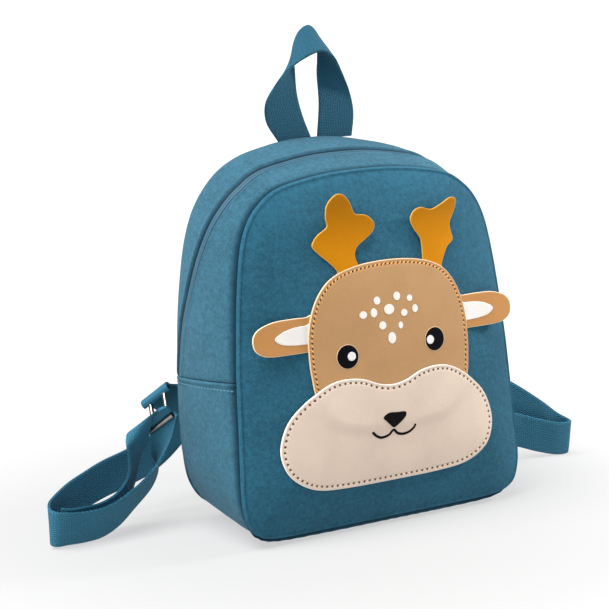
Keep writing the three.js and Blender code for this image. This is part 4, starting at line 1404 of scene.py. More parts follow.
HEAD_ROWS = flat_rows((0, 0.85), (0.33, 0.83), (0.6, 0.765), (0.78, 0.65), (0.91, 0.46), (0.985, 0.22),
                      (1, 0), (0.99, -0.22), (0.93, -0.5), (0.7, -0.72), (0.35, -0.8), (0, -0.82))
MUZZLE_ROWS = flat_rows((0, 0.35), (0.13, 0.37), (0.28, 0.425), (0.45, 0.44), (0.6, 0.405), (0.78, 0.295),
                        (0.93, 0.15), (1, -0.04), (0.97, -0.2), (0.87, -0.31), (0.7, -0.385), (0.45, -0.41),
                        (0, -0.415))
NOSE_ROWS = flat_rows((-0.012, 0.012), (-0.045, 0.034), (-0.085, 0.072), (-0.112, 0.104), (-0.06, 0.134),
                      (0.02, 0.13), (0.095, 0.124), (0.103, 0.094), (0.07, 0.062), (0.025, 0.03))
MOUTH_ROWS = flat_rows((-0.213, 0.002), (-0.17, -0.036), (-0.12, -0.054), (-0.055, -0.042), (-0.014, -0.008),
                       (0.027, -0.04), (0.08, -0.054), (0.135, -0.046), (0.178, -0.022), (0.198, 0.01))
EAR_ROWS = flat_rows((-0.16, 0.27), (0, 0.28), (0.3, 0.285), (0.6, 0.27), (0.85, 0.2), (0.97, 0.1),
                     (1, -0.02), (0.97, -0.14), (0.86, -0.23), (0.68, -0.27), (0.35, -0.277),
                     (0, -0.275), (-0.16, -0.27))
EAR_INNER_ROWS = flat_rows((-0.1, 0.16), (0.02, 0.155), (0.25, 0.14), (0.46, 0.09), (0.6, 0), (0.5, -0.09),
                           (0.3, -0.13), (0.02, -0.145), (-0.1, -0.15))
ANTLER_ROWS = {
    Side.LEFT: flat_rows((-0.17, -0.12), (-0.16, 0), (-0.1, 0.17), (-0.15, 0.29), (-0.28, 0.37),
                         (-0.41, 0.47), (-0.43, 0.58), (-0.32, 0.68), (-0.14, 0.72), (-0.07, 0.87),
                         (0.03, 0.98), (0.15, 0.98), (0.28, 0.86), (0.31, 0.7), (0.3, 0.58), (0.45, 0.48),
                         (0.53, 0.35), (0.42, 0.22), (0.3, 0.12), (0.19, 0), (0.17, -0.12)),
    Side.RIGHT: flat_rows((-0.16, -0.12), (-0.15, 0), (-0.15, 0.18), (-0.17, 0.3), (-0.27, 0.44),
                          (-0.31, 0.56), (-0.25, 0.66), (-0.13, 0.7), (0.05, 0.66), (0.22, 0.71), (0.4, 0.78),
                          (0.5, 0.75), (0.47, 0.62), (0.37, 0.46), (0.37, 0.36), (0.4, 0.22), (0.28, 0.12),
                          (0.17, -0.085), (0.16, -0.16)),
}
ANTLER_SIDES = {Side.LEFT: 0.0278, Side.RIGHT: 0.0378}


@dataclass(frozen=True)
class Oval:
    """A round print, as shares of half the head's width from the head's middle."""

    side: float
    up: float
    wide: float
    tall: float


EYES = {Side.LEFT: Oval(-0.572, -0.067, 0.262, 0.252), Side.RIGHT: Oval(0.527, -0.02, 0.262, 0.252)}
EYE_SHINE = {Side.LEFT: 0.045, Side.RIGHT: -0.06}
GLINT = Oval(0, 0, 0.1, 0.094)
# Distances of the rings near a stitched edge, and the mouth's profile: shares of half its width, millimetres
PATCH_INSETS = (0.8, 1.4, 2.0, 2.5, 3.0, 3.5, 4.1, 4.8, 6.0)
MOUTH_SHARES = (-1, -0.82, -0.4, 0, 0.4, 0.82, 1)
MOUTH_LIFTS = (0, 0.14, 0.2, 0.22, 0.2, 0.14, 0)
SPOTS = tuple(Oval(*row) for row in (
    (-0.025, 0.352, 0.132, 0.11),
    (-0.165, 0.455, 0.086, 0.087),
    (0.086, 0.475, 0.09, 0.092),
    (0.244, 0.438, 0.075, 0.071),
    (0.302, 0.324, 0.075, 0.087),
    (0.16, 0.297, 0.086, 0.076),
    (-0.349, 0.33, 0.097, 0.08),
    (-0.217, 0.337, 0.086, 0.097),
    (-0.121, 0.198, 0.095, 0.087),
    (0.103, 0.175, 0.062, 0.078),
    (-0.017, 0.059, 0.102, 0.122),
))


def closed_outline(points: Array, count: int) -> Array:
    """An anticlockwise smooth outline through points, evenly stepped along its length.

    Args:
        points: the points to pass through, points by 2.
        count: how many points the outline gets.

    Returns:
        count points by 2.
    """
    fine = smooth_curve(points, even_round(1, 8 * count), closed=True)
    area = np.sum(fine[:, 0] * np.roll(fine[:, 1], -1) - fine[:, 1] * np.roll(fine[:, 0], -1))
    if area < 0:
        fine = fine[::-1]
    length = arc_lengths(fine)
    at = even_round(length[-1], count)
    loop = np.vstack([fine, fine[:1]])
    return np.stack([np.interp(at, length, loop[:, i]) for i in range(2)], -1)


def mirrored(rows: Sequence[FlatRow]) -> Array:
    """A whole outline from the rows of its right-hand half."""
    half = [(row.side, row.up) for row in rows]
    return np.array(half + [(-x, z) for x, z in half[-2:0:-1]])


@dataclass
class Face:
    """Leather patches, prints, ears and antlers on the front of the bag."""

    shape: BodyShape
    finishes: Finishes
    head_width: float = 0.126
    head_height: float = 0.122
    muzzle_width: float = 0.167
    muzzle_height: float = 0.067
    muzzle_shift: float = -0.0034
    leather: float = 0.0011
    head_lift: float = 0.0021
    muzzle_lift: float = 0.0036
    muzzle_low: float = 0.0023
    ear_length: float = 0.0395
    ear_height: float = 0.1343
    antler_height: float = 0.049
    antler_root: float = 0.172
    mouth_stroke: float = 0.0018
    stitch_inset: float = 0.0026
    stitch_pitch: float = 0.0033
    muzzle_pitch: float = 0.0042

    def __post_init__(self) -> None:
        """Works out the outlines of the two patches."""
        half = self.head_width / 2
        self.head = closed_outline(mirrored(HEAD_ROWS) * half + (0, self.head_height), 300)
        half = self.muzzle_width / 2
        muzzle_middle = (self.muzzle_shift, self.muzzle_height)
        self.muzzle = closed_outline(mirrored(MUZZLE_ROWS) * half + muzzle_middle, 340)
        rim = self.head - (0, self.head_height)
        order = np.argsort(np.arctan2(rim[:, 1], rim[:, 0]))
        angle = np.arctan2(rim[:, 1], rim[:, 0])[order]
        self.head_angle = np.concatenate([angle - 2 * np.pi, angle, angle + 2 * np.pi])
        self.head_reach = np.tile(np.hypot(rim[:, 0], rim[:, 1])[order], 3)

    def on_head(self, x: Array, z: Array) -> Array:
        """Depth of the head patch's face."""
        return self.shape.panel_face(x, z) - self.head_lift

    def beyond_head(self, x: Array, z: Array) -> Array:
        """Distance outside the head's edge, negative inside it."""
        up = z - self.head_height
        return np.hypot(x, up) - np.interp(np.arctan2(up, x), self.head_angle, self.head_reach)

    def on_muzzle(self, x: Array, z: Array) -> Array:
        """Depth of the muzzle patch's face, lower where no head lies under it."""
        off = smooth_step(self.beyond_head(x, z), -2 * MM, 9 * MM)
        return self.shape.panel_face(x, z) - (self.muzzle_lift + (self.muzzle_low - self.muzzle_lift) * off)

    def patch(self, name: str, outline: Array, hub: Array, top: Surface, thickness: float, rings: int,
              stitches: int = 0, edge: float = 0.0003) -> Thing:
        """A sheet that follows a surface, with a rounded cut edge.

        Args:
            name: the object's name.
            outline: anticlockwise outline, points by 2.
            hub: the point that its rings close on.
            top: depth of its outer face at x and z.
            thickness: of the sheet.
            rings: rings between its edge and its hub.
            stitches: number of stitches round it, or 0 for none.
            edge: radius of the rounded edge.

        Returns:
            The Blender object.
        """
        into = inward(outline)
        groove = 0.3 * MM if stitches else 0.0
        insets = [0.0, 0.3 * edge, edge]
        if stitches:
            insets += [k * MM for k in PATCH_INSETS]
        drops = {0.0: edge, 0.3 * edge: 0.3 * edge}
        loops, depths, lines = [], [], []
        for inset in insets:
            flat = outline + into * inset
            dip = groove * math.exp(-((inset - self.stitch_inset) / (0.7 * MM)) ** 2)
            loops.append(flat)
            depths.append(top(flat[:, 0], flat[:, 1]) + drops.get(inset, 0.0) + dip)
            lines.append(inset)
        start = loops[-1]
        reach = float(np.mean(np.linalg.norm(start - hub, axis=1)))
        for share in np.linspace(0, 1, rings + 1)[1:-1]:
            flat = start + (hub - start) * share
            loops.append(flat)
            depths.append(top(flat[:, 0], flat[:, 1]))
            lines.append(insets[-1] + reach * share)
        rim_face = top(outline[:, 0], outline[:, 1])
        under_loops = [start + (hub - start) * 0.5, start, outline]
        under = [np.stack([p[:, 0], top(p[:, 0], p[:, 1]) + thickness, p[:, 1]], -1) for p in under_loops[:2]]
        under.append(np.stack([outline[:, 0], rim_face + thickness, outline[:, 1]], -1))
        upper = [np.stack([p[:, 0], d, p[:, 1]], -1) for p, d in zip(loops, depths)]
        solid = np.stack([*under, *upper])
        length = arc_lengths(outline)
        around = length / length[-1] * (stitches or length[-1] / MM)
        away = np.array([0.0, 0.0, 0.0, *lines]) / MM
        uv = np.stack(np.broadcast_arrays(around[None, :], away[:, None]), -1)
        last = np.array([hub[0], float(top(hub[0], hub[1])), hub[1]])
        return ring_solid(name, solid, uv, last + (0, thickness, 0), last, LEATHER_ANGLE)

    def stitch_row(self, name: str, outline: Array, top: Surface, count: int, length: float, slant: float,
                   sink: float) -> Thing:
        """A row of stitches along an outline's edge.

        Args:
            name: the object's name.
            outline: anticlockwise outline, points by 2.
            top: depth of the leather's face.
            count: number of stitches.
            length: of each stitch.
            slant: turn of each stitch away from the row, in degrees.
            sink: how deep the middle of the thread lies under the face.

        Returns:
            The Blender object.
        """
        line = outline + inward(outline) * self.stitch_inset
        share = arc_lengths(outline)
        share = share / share[-1] * count
        loop = np.vstack([line, line[:1]])
        frames = []
        step = 0.4 * MM
        for k in range(count):
            a, b = (np.array([np.interp(at, share, loop[:, i]) for i in range(2)])
                    for at in (k + 0.45, k + 0.55))
            x, z = (a + b) / 2
            y = float(top(x, z))
            way = unit(b - a)
            across = np.array([step, float(top(x + step, z)) - y, 0.0])
            upward = np.array([0.0, float(top(x, z + step)) - y, step])
            out = unit(np.cross(across, upward))
            out = out if out[1] < 0 else -out
            along = unit(np.array([way[0], 0.0, way[1]]) - out * out[[0, 2]].dot(way))
            beside = unit(np.cross(out, along))
            turn = math.radians(slant)
            tilted = along * math.cos(turn) + beside * math.sin(turn)
            origin = np.array([x, y + 0.3 * MM, z]) - out * sink
            frames.append(axes_matrix(origin, tilted, np.cross(out, tilted), out))
        return scatter(name, Stitching().template(length), frames)

    def add_head(self) -> None:
        """Head patch with its row of thread."""
        count = int(arc_lengths(self.head)[-1] / self.stitch_pitch)
        piece = self.patch("head_leather_patch", self.head, np.array([0, self.head_height]), self.on_head,
                           self.leather, 16, count)
        place(piece, self.finishes.head, Slot.HEAD, "head_patch")
        row = self.stitch_row("head_stitches", self.head, self.on_head, count, 3.1 * MM, 42, 0.05 * MM)
        place(row, self.finishes.head_thread, Slot.HEAD)

    def add_muzzle(self) -> None:
        """Muzzle patch with its row of thread."""
        count = int(arc_lengths(self.muzzle)[-1] / self.muzzle_pitch)
        hub = np.array([self.muzzle_shift, self.muzzle_height])
        piece = self.patch("muzzle_leather_patch", self.muzzle, hub, self.on_muzzle, self.leather, 16, count)
        place(piece, self.finishes.muzzle, Slot.MUZZLE, "muzzle_patch")
        row = self.stitch_row("muzzle_stitches", self.muzzle, self.on_muzzle, count, 2.2 * MM, 0, 0.2 * MM)
        place(row, self.finishes.muzzle_thread, Slot.MUZZLE)

    def oval(self, name: str, oval: Oval, lift: float, finish: Material, slot: Slot, node: str) -> None:
        """A round print on the head.

        Args:
            name: the object's name.
            oval: its place and size.
            lift: height of its face over the leather.
            finish: its material.
            slot: its slot in the record.
            node: the node it stands for.
        """
        half = self.head_width / 2
        x, z = oval.side * half, self.head_height + oval.up * half
        turn = even_round(2 * np.pi, 64)
        wide, tall = oval.wide * half / 2, oval.tall * half / 2
        ring = np.stack([x + wide * np.cos(turn), z + tall * np.sin(turn)], -1)
        piece = self.patch(name, ring, np.array([x, z]), lambda a, b: self.on_head(a, b) - lift,
                           lift + 0.05 * MM, 5, edge=0.6 * lift)
        place(piece, finish, slot, node)

    def add_prints(self) -> None:
        """Eyes with their glints, and the spots on the forehead."""
        looks, eye_lift, glint_lift, spot_lift = self.finishes, 0.22 * MM, 0.36 * MM, 0.2 * MM
        for side, eye in EYES.items():
            name = f"eye_{side.word}"
            self.oval(f"{name}_print", eye, eye_lift, looks.eye, Slot.BLACK, name)
            glint = Oval(eye.side + EYE_SHINE[side], eye.up, GLINT.wide, GLINT.tall)
            name = f"glint_{side.word}"
            self.oval(f"{name}_print", glint, glint_lift, looks.glint, Slot.WHITE, name)
        for k, spot in enumerate(SPOTS, 1):
            self.oval(f"spot_{k}_print", spot, spot_lift, looks.spot, Slot.WHITE, f"spot_{k}")

    def add_nose_and_mouth(self) -> None:
        """Nose and smile printed on the muzzle."""
        half, steps = self.muzzle_width / 2, 91
        shift = np.array([self.muzzle_shift, self.muzzle_height])
        rows = np.array([(row.side, row.up) for row in NOSE_ROWS]) * half + shift
        outline = closed_outline(rows, 72)
        nose = self.patch("nose_print", outline, np.array([0, 0.09]) * half + shift,
                          lambda a, b: self.on_muzzle(a, b) - 0.25 * MM, 0.3 * MM, 6, edge=0.15 * MM)
        place(nose, self.finishes.mark, Slot.BLACK, "nose")
        rows = np.array([(row.side, row.up) for row in MOUTH_ROWS]) * half + shift
        line = smooth_curve(rows, np.linspace(0, 1, steps))
        way = unit(np.gradient(line, axis=0))
        beside = np.stack([-way[:, 1], way[:, 0]], -1)
        width = self.mouth_stroke / 2
        past_end = np.clip((abs(np.linspace(-1, 1, steps)) - 0.975) / 0.03, 0, 1)
        ends = np.sqrt(np.clip(1 - past_end ** 2, 0.04, 1))
        sides, heights = np.array(MOUTH_SHARES), np.array(MOUTH_LIFTS) * MM
        flat = line[:, None, :] + beside[:, None, :] * (sides[None, :, None] * width * ends[:, None, None])
        x, z = flat[..., 0], flat[..., 1]
        face = self.on_muzzle(x, z)
        outer = np.stack([x, face - heights[None, :], z], -1)
        inner = np.stack([x, face + 0.1 * MM, z], -1)
        uv = np.stack([x, 2 + 0 * z], -1)
        mouth = sheet_solid("mouth_print", outer, inner, uv)
        place(mouth, self.finishes.mark, Slot.BLACK, "mouth")

    def flap_face(self, x: Array, z: Array, lift: float, side: float, up: float) -> Array:
        """Depth of a stiff flap that lies on the panel under the head and runs straight on beyond it.

        Args:
            x, z: places on the flap.
            lift: height of its face over the panel under the head.
            side: how far from the middle it leaves the head, for an ear.
            up: how high it leaves the head, for an antler.

        Returns:
            The depth at each place.
        """
        held_x = np.clip(x, -side, side)
        held_z = np.minimum(z, up)
        return self.shape.front_plane(z) - self.shape.bulge(self.shape.rim_share(held_x, held_z)) - lift

    def add_ears(self) -> None:
        """Ears with their pale inner patches, tucked under the head."""
        root = self.head_width / 2 - 0.6 * MM
        for side in Side:
            def curl(x: Array) -> Array:
                """The tip bends back a little."""
                return 1.2 * MM * np.clip((np.abs(x) - root) / self.ear_length, 0, 1) ** 2

            def ear_top(x: Array, z: Array) -> Array:
                """Outer face of the ear."""
                return self.flap_face(x, z, 1.0 * MM, root, 1.0) + curl(x)

            def inner_top(x: Array, z: Array) -> Array:
                """Outer face of the pale patch."""
                return ear_top(x, z) - 0.35 * MM

            for rows, name, top, thick, finish, slot in (
                    (EAR_ROWS, "ear", ear_top, 0.85 * MM, self.finishes.ear, Slot.EAR),
                    (EAR_INNER_ROWS, "ear_inner", inner_top, 0.4 * MM, self.finishes.white, Slot.WHITE)):
                points = np.array([(side.value * (self.head_width / 2 + row.side * self.ear_length),
                                    self.ear_height + row.up * self.ear_length) for row in rows])
                hub = points.mean(axis=0)
                piece = self.patch(f"{name}_{side.word}_leather", closed_outline(points, 160), hub, top,
                                   thick, 10, edge=0.2 * MM)
                place(piece, finish, slot, f"{name}_{side.word}")

    def add_antlers(self) -> None:
        """Antlers tucked under the top of the head."""
        for side, rows in ANTLER_ROWS.items():
            points = np.array([(side.value * (ANTLER_SIDES[side] + row.side * self.antler_height),
                                self.antler_root + row.up * self.antler_height) for row in rows])
            root = self.antler_root - 3 * MM

            def top(x: Array, z: Array) -> Array:
                """Outer face, which leans forward towards the tips."""
                rise = np.clip((z - root) / self.antler_height, 0, 1)
                return self.flap_face(x, z, 1.0 * MM, 1.0, root) - 1.0 * MM * rise ** 2

            hub = np.array([side.value * (ANTLER_SIDES[side] + 0.08 * self.antler_height),
                            self.antler_root + 0.5 * self.antler_height])
            piece = self.patch(f"antler_{side.word}_leather", closed_outline(points, 220), hub, top,
                               0.85 * MM, 10, edge=0.2 * MM)
            place(piece, self.finishes.antler, Slot.ANTLER, f"antler_{side.word}")

    def build(self) -> None:
        """Every piece of the face."""
        self.add_ears()
        self.add_antlers()
        self.add_head()
        self.add_muzzle()
        self.add_prints()
        self.add_nose_and_mouth()


# Webbing and rings


@dataclass(frozen=True)
class BandRow:
    """Middle of a band and the direction of its width, at one bend.

    Places are shares of strap reach, body depth and back height; directions point outward, back and up.
    """

    out: float
    back: float
    up: float
    way_out: float
    way_back: float
    way_up: float

    def way(self, side: Side) -> Place:
        """Direction of the width, for the band of one side."""
        return side.value * self.way_out, self.way_back, self.way_up


def band_rows(*rows: tuple[float, ...]) -> tuple[BandRow, ...]:
    """Band rows from tuples of shares."""
    return tuple(BandRow(*row) for row in rows)


@dataclass(frozen=True)
class HandleRow:
    """Both edges of the carrying loop at one bend.

    Sides and depths are shares of its width, and heights are shares of its rise.
    """

    outer_side: float
    outer_back: float
    outer_up: float
    inner_side: float
    inner_back: float
    inner_up: float


HANDLE_ROWS = tuple(HandleRow(*row) for row in (
    (-0.9, 0, 0, 0.08, 0, 0),
    (-1.28, -0.04, 0.18, -0.14, 0.04, 0.18),
    (-1.33, -0.11, 0.34, -0.26, 0.11, 0.38),
    (-1.09, -0.22, 0.5, -0.22, 0.26, 0.6),
    (-0.68, -0.33, 0.66, -0.17, 0.37, 0.8),
    (-0.19, -0.4, 0.755, 0.04, 0.43, 0.95),
    (0.22, -0.37, 0.78, 0.33, 0.44, 1),
    (0.56, -0.3, 0.72, 0.54, 0.43, 0.93),
    (0.89, -0.19, 0.57, 0.54, 0.37, 0.77),
    (1.19, -0.07, 0.4, 0.41, 0.22, 0.57),
    (1.33, -0.02, 0.2, 0.35, 0.06, 0.3),
    (1.28, 0, 0, 0.24, 0, 0),
))
# Middle of the ring, with the direction of its length
RING = BandRow(0.572, 0.557, 0.3155, -0.407, -0.683, 0.607)
TAB_ROWS = band_rows(
    (0.43, 0.5135, 0.32, 0, 0, 1),
    (0.468, 0.59, 0.325, -0.15, -0.3, 0.9),
    (0.51, 0.665, 0.335, -0.3, -0.55, 0.75),
)
STRAP_START = band_rows(
    (0.098, 0.5135, 0.975, 1, 0, 0),
    (0.127, 0.539, 0.823, 0.97, 0, 0.2),
)
STRAP_TO_RING = band_rows(
    (0.629, 0.5, 0.129, 0.57, -0.7, 0.43),
    (0.592, 0.52, 0.163, 0.45, -0.83, 0.36),
    (0.582, 0.511, 0.191, 0.15, -0.86, 0.5),
    (0.581, 0.492, 0.222, -0.2, -0.78, 0.6),
)
STRAP_FROM_RING = band_rows(
    (0.611, 0.479, 0.305, -0.42, -0.66, 0.62),
    (0.65, 0.497, 0.292, -0.65, -0.45, 0.6),
    (0.672, 0.5, 0.237, -0.85, 0.5, -0.15),
    (0.673, 0.534, 0.202, -0.72, 0.66, -0.22),
    (0.68, 0.55, 0.15, -0.52, 0.66, -0.54),
    (0.698, 0.55, 0.111, -0.33, 0.58, -0.74),
)
STRAP_LOOP = {
    Side.LEFT: band_rows(
        (0.18, 0.618, 0.638, 0.93, 0, 0.37),
        (0.263, 0.742, 0.461, 0.8, 0.05, 0.6),
        (0.351, 0.843, 0.321, 0.6, 0.05, 0.8),
        (0.439, 0.888, 0.218, 0.35, 0.03, 0.93),
        (0.527, 0.876, 0.165, 0.2, 0, 0.98),
        (0.624, 0.848, 0.14, 0.1, 0, 0.99),
        (0.732, 0.787, 0.1255, 0.05, 0, 1),
        (0.81, 0.719, 0.113, 0, 0, 1),
        (0.888, 0.64, 0.099, 0, 0, 1),
        (0.951, 0.562, 0.082, 0.03, 0, 1),
        (0.99, 0.489, 0.07, 0.05, 0, 1),
        (1.002, 0.427, 0.0605, 0.07, -0.1, 0.99),
        (0.993, 0.382, 0.0575, 0.08, -0.2, 0.97),
        (0.956, 0.369, 0.055, 0.12, -0.3, 0.94),
        (0.905, 0.382, 0.0505, 0.2, -0.32, 0.9),
        (0.834, 0.393, 0.051, 0.24, -0.4, 0.89),
        (0.77, 0.419, 0.064, 0.3, -0.5, 0.81),
        (0.706, 0.449, 0.092, 0.41, -0.63, 0.65),
    ),
    Side.RIGHT: band_rows(
        (0.195, 0.64, 0.658, 0.93, 0, 0.37),
        (0.302, 0.764, 0.527, 0.8, 0, 0.6),
        (0.439, 0.831, 0.416, 0.6, 0, 0.8),
        (0.576, 0.809, 0.325, 0.45, 0, 0.9),
        (0.707, 0.685, 0.247, 0.3, 0, 0.95),
        (0.839, 0.517, 0.183, 0.2, -0.05, 0.98),
        (0.946, 0.399, 0.117, 0.12, -0.05, 0.99),
        (1.01, 0.343, 0.074, 0.05, 0, 1),
        (1.041, 0.303, 0.0576, 0, 0, 1),
        (1.036, 0.27, 0.0535, 0, -0.15, 0.99),
        (0.99, 0.275, 0.0535, 0, -0.15, 0.99),
        (0.917, 0.337, 0.069, 0, -0.05, 1),
        (0.839, 0.405, 0.091, 0, 0, 1),
        (0.742, 0.449, 0.111, 0.3, -0.4, 0.86),
    ),
}
STRAP_TAIL = {
    Side.LEFT: band_rows(
        (0.744, 0.539, 0.072, -0.2, 0.49, -0.85),
        (0.81, 0.503, 0.054, -0.17, 0.39, -0.9),
        (0.872, 0.47, 0.0525, -0.11, 0.33, -0.94),
        (0.927, 0.442, 0.0535, -0.07, 0.24, -0.97),
        (0.963, 0.437, 0.0576, -0.04, 0.13, -0.99),
    ),
    Side.RIGHT: band_rows((0.737, 0.55, 0.105, -0.2, 0.5, -0.84)),
}


@dataclass
class RingFrame:
    """Middle and directions of one square ring."""

    middle: Array
    length: Array
    height: Array
    back: Array


@dataclass
class Webbing:
    """Straps, tabs, carrying loop and the square rings that join them."""

    shape: BodyShape
    finishes: Finishes
    width: float = 0.025
    thickness: float = 0.0018
    reach: float = 0.205
    handle_width: float = 0.027
    handle_rise: float = 0.0735
    bar_width: float = 0.0242
    ring_length: float = 0.031
    ring_height: float = 0.0237
    ring_wire: float = 0.0032
    ring_corner: float = 0.0045

    def ring_frame(self, side: Side) -> RingFrame:
        """Where a ring lies and how it is turned; the width of its bands runs along its length."""
        length = unit(np.array(RING.way(side)))
        height = unit(np.array([side.value * 0.303, -0.727, -0.616]))
        back = unit(np.cross(length, height)) * -side.value
        return RingFrame(self.spot(side, RING), length, height, back)

    def spot(self, side: Side, row: BandRow) -> Array:
        """The point at which a row of a band lies."""
        return np.array([side.value * row.out * self.reach, row.back * self.shape.depth,
                         row.up * self.shape.back_height])

    def edges(self, side: Side, rows: Sequence[BandRow]) -> list[Edges]:
        """Both edge points of a band at each row."""
        found = []
        for row in rows:
            middle, way = self.spot(side, row), unit(np.array(row.way(side)))
            found.append((middle + way * self.width / 2, middle - way * self.width / 2))
        return found

    def round_bar(self, ring: RingFrame, down: float, first: float, last: float, steps: int) -> list[Edges]:
        """Both edge points of a band that turns round one long bar of a ring.

        Args:
            ring: the ring's frame.
            down: 1 for its lower bar and -1 for its upper one.
            first, last: the turn at which the band meets and leaves the bar, in degrees.
            steps: how many steps the turn has.

        Returns:
            Pairs of edge points.
        """
        bar = ring.middle + ring.height * down * self.ring_height / 2
        radius = self.ring_wire / 2 + self.shape.gap + self.thickness / 2
        found = []
        for turn in np.radians(np.linspace(first, last, steps + 1)):
            middle = bar + ring.back * radius * math.cos(turn) - ring.height * radius * math.sin(turn)
            half = ring.length * self.bar_width / 2
            found.append((middle + half, middle - half))
        return found

    def band(self, name: str, edges: Sequence[Edges], steps: int, wave: float, seed: float) -> Thing:
        """A woven band between two edge lines, with rounded edges that have a fine groove.

        Args:
            name: the object's name.
            edges: both edge points at each bend.
            steps: steps between two bends.
            wave: height of its small unevenness.
            seed: moves that unevenness.

        Returns:
            The Blender object.
        """
        shares = np.linspace(0, 1, (len(edges) - 1) * steps + 1)
        near = smooth_curve(np.array([e[0] for e in edges]), shares, centripetal=True)
        far = smooth_curve(np.array([e[1] for e in edges]), shares, centripetal=True)
        along = unit(unit(np.gradient(near, axis=0)) + unit(np.gradient(far, axis=0)))
        across = unit(far - near)
        normal = unit(np.cross(along, across))
        middle = (near + far) / 2
        half = np.linalg.norm(far - near, axis=1) / 2
        run = run_along(middle)
        thick = self.thickness / 2
        turn = np.radians([-60, -30, 0, 30, 60])
        flat = np.linspace(-1, 1, 13)
        round_share = 0.7
        side = [(1.0, thick * math.cos(t) * round_share if t else 0.0, thick * math.sin(t)) for t in turn]
        section = ([(v, 0.0, thick) for v in flat[::-1]] + [(-1.0, -p, -h) for _, p, h in side]
                   + [(v, 0.0, -thick) for v in flat] + side)
        rings, places = [], []
        for share, poke, height in section:
            reach = share * (half - round_share * thick) + poke
            lift = height + wave * ripple(run, share * half, 0.045, seed)
            rings.append(middle + across * reach[:, None] + normal * lift[:, None])
            places.append(np.stack([run, share * half], -1) / MM)
        rings = np.stack(rings, 1)
        uv = np.stack(places + places[:1], 1)
        return ring_solid(name, rings, uv, rings[0].mean(axis=0), rings[-1].mean(axis=0), LEATHER_ANGLE)

    def add_handle(self) -> None:
        """Carrying loop, sewn into the back seam at the top."""
        s = self.shape
        depth = s.far_edge - self.thickness / 2
        foot = s.gusset(np.array([TOP_ROW]), np.array([[s.far_edge]]))[0][0, 0, 2] + 0.0009
        wide, rise = self.handle_width, self.handle_rise
        edges = []
        for r in HANDLE_ROWS:
            outer = np.array([r.outer_side * wide, depth + r.outer_back * wide, foot + r.outer_up * rise])
            inner = np.array([r.inner_side * wide, depth + r.inner_back * wide, foot + r.inner_up * rise])
            edges.append((outer, inner))
        for end in (0, -1):
            edges[end] = tuple(p - (0, 0, 1.6 * MM) for p in edges[end])
        piece = self.band("handle_webbing", edges, 14, 0.25 * MM, 1.0)
        place(piece, self.finishes.handle, Slot.WEBBING, "handle")

    def add_strap(self, side: Side) -> None:
        """One shoulder strap, through its ring and back along itself."""
        rows = (*STRAP_START, *STRAP_LOOP[side], *STRAP_TO_RING)
        after = (*STRAP_FROM_RING, *STRAP_TAIL[side])
        turn = self.round_bar(self.ring_frame(side), 1, 0, 120, 4)
        edges = [*self.edges(side, rows), *turn, *self.edges(side, after)]
        piece = self.band(f"strap_{side.word}_webbing", edges, 10, 0.2 * MM, 2.0 + side.value)
        place(piece, self.finishes.strap, Slot.WEBBING, f"strap_{side.word}")

    def add_tab(self, side: Side) -> None:
        """Folded tab that holds a ring."""
        edges = [*self.edges(side, TAB_ROWS), *self.round_bar(self.ring_frame(side), -1, 60, 270, 5)]
        piece = self.band(f"tab_{side.word}_webbing", edges, 10, 0.0, 4.0)
        place(piece, self.finishes.strap, Slot.WEBBING, f"tab_{side.word}")

    def add_ring(self, side: Side) -> None:
        """Square metal ring: a round wire drawn straight and turned at four corners."""
        long, high, corner = self.ring_length / 2, self.ring_height / 2, self.ring_corner
        bpy.ops.object.select_all(action="DESELECT")
        bpy.ops.mesh.primitive_circle_add(vertices=18, radius=self.ring_wire / 2, fill_type="NOTHING",
                                          location=(corner - long, high, 0), rotation=(0, math.pi / 2, 0))
        ring = bpy.context.object
        bpy.ops.object.transform_apply(location=True, rotation=True, scale=True)
        bpy.ops.object.mode_set(mode="EDIT")
        bpy.ops.mesh.select_all(action="SELECT")
        runs = (((1, 0), 2 * (long - corner)), ((0, -1), 2 * (high - corner)),
                ((-1, 0), 2 * (long - corner)), ((0, 1), 2 * (high - corner)))
        centres = ((long - corner, high - corner), (long - corner, corner - high),
                   (corner - long, corner - high), (corner - long, high - corner))
        for (way, run), centre in zip(runs, centres):
            step = (way[0] * run, way[1] * run, 0)
            bpy.ops.mesh.extrude_region_move(TRANSFORM_OT_translate={"value": step})
            bpy.ops.mesh.spin(steps=7, angle=-math.pi / 2, center=(*centre, 0), axis=(0, 0, 1))
        bpy.ops.mesh.select_all(action="SELECT")
        bpy.ops.mesh.remove_doubles(threshold=0.05 * MM)
        bpy.ops.object.mode_set(mode="OBJECT")
        ring.name = f"ring_{side.word}_metal"
        at = self.ring_frame(side)
        ring.data.transform(axes_matrix(at.middle, at.length, at.height, at.back))
        close_up(ring, 60)
        place(ring, self.finishes.metal, Slot.METAL, f"ring_{side.word}")

    def build(self) -> None:
        """Every piece of webbing and metal outside the body."""
        self.add_handle()
        for side in Side:
            self.add_strap(side)
            self.add_tab(side)
            self.add_ring(side)


# Studio


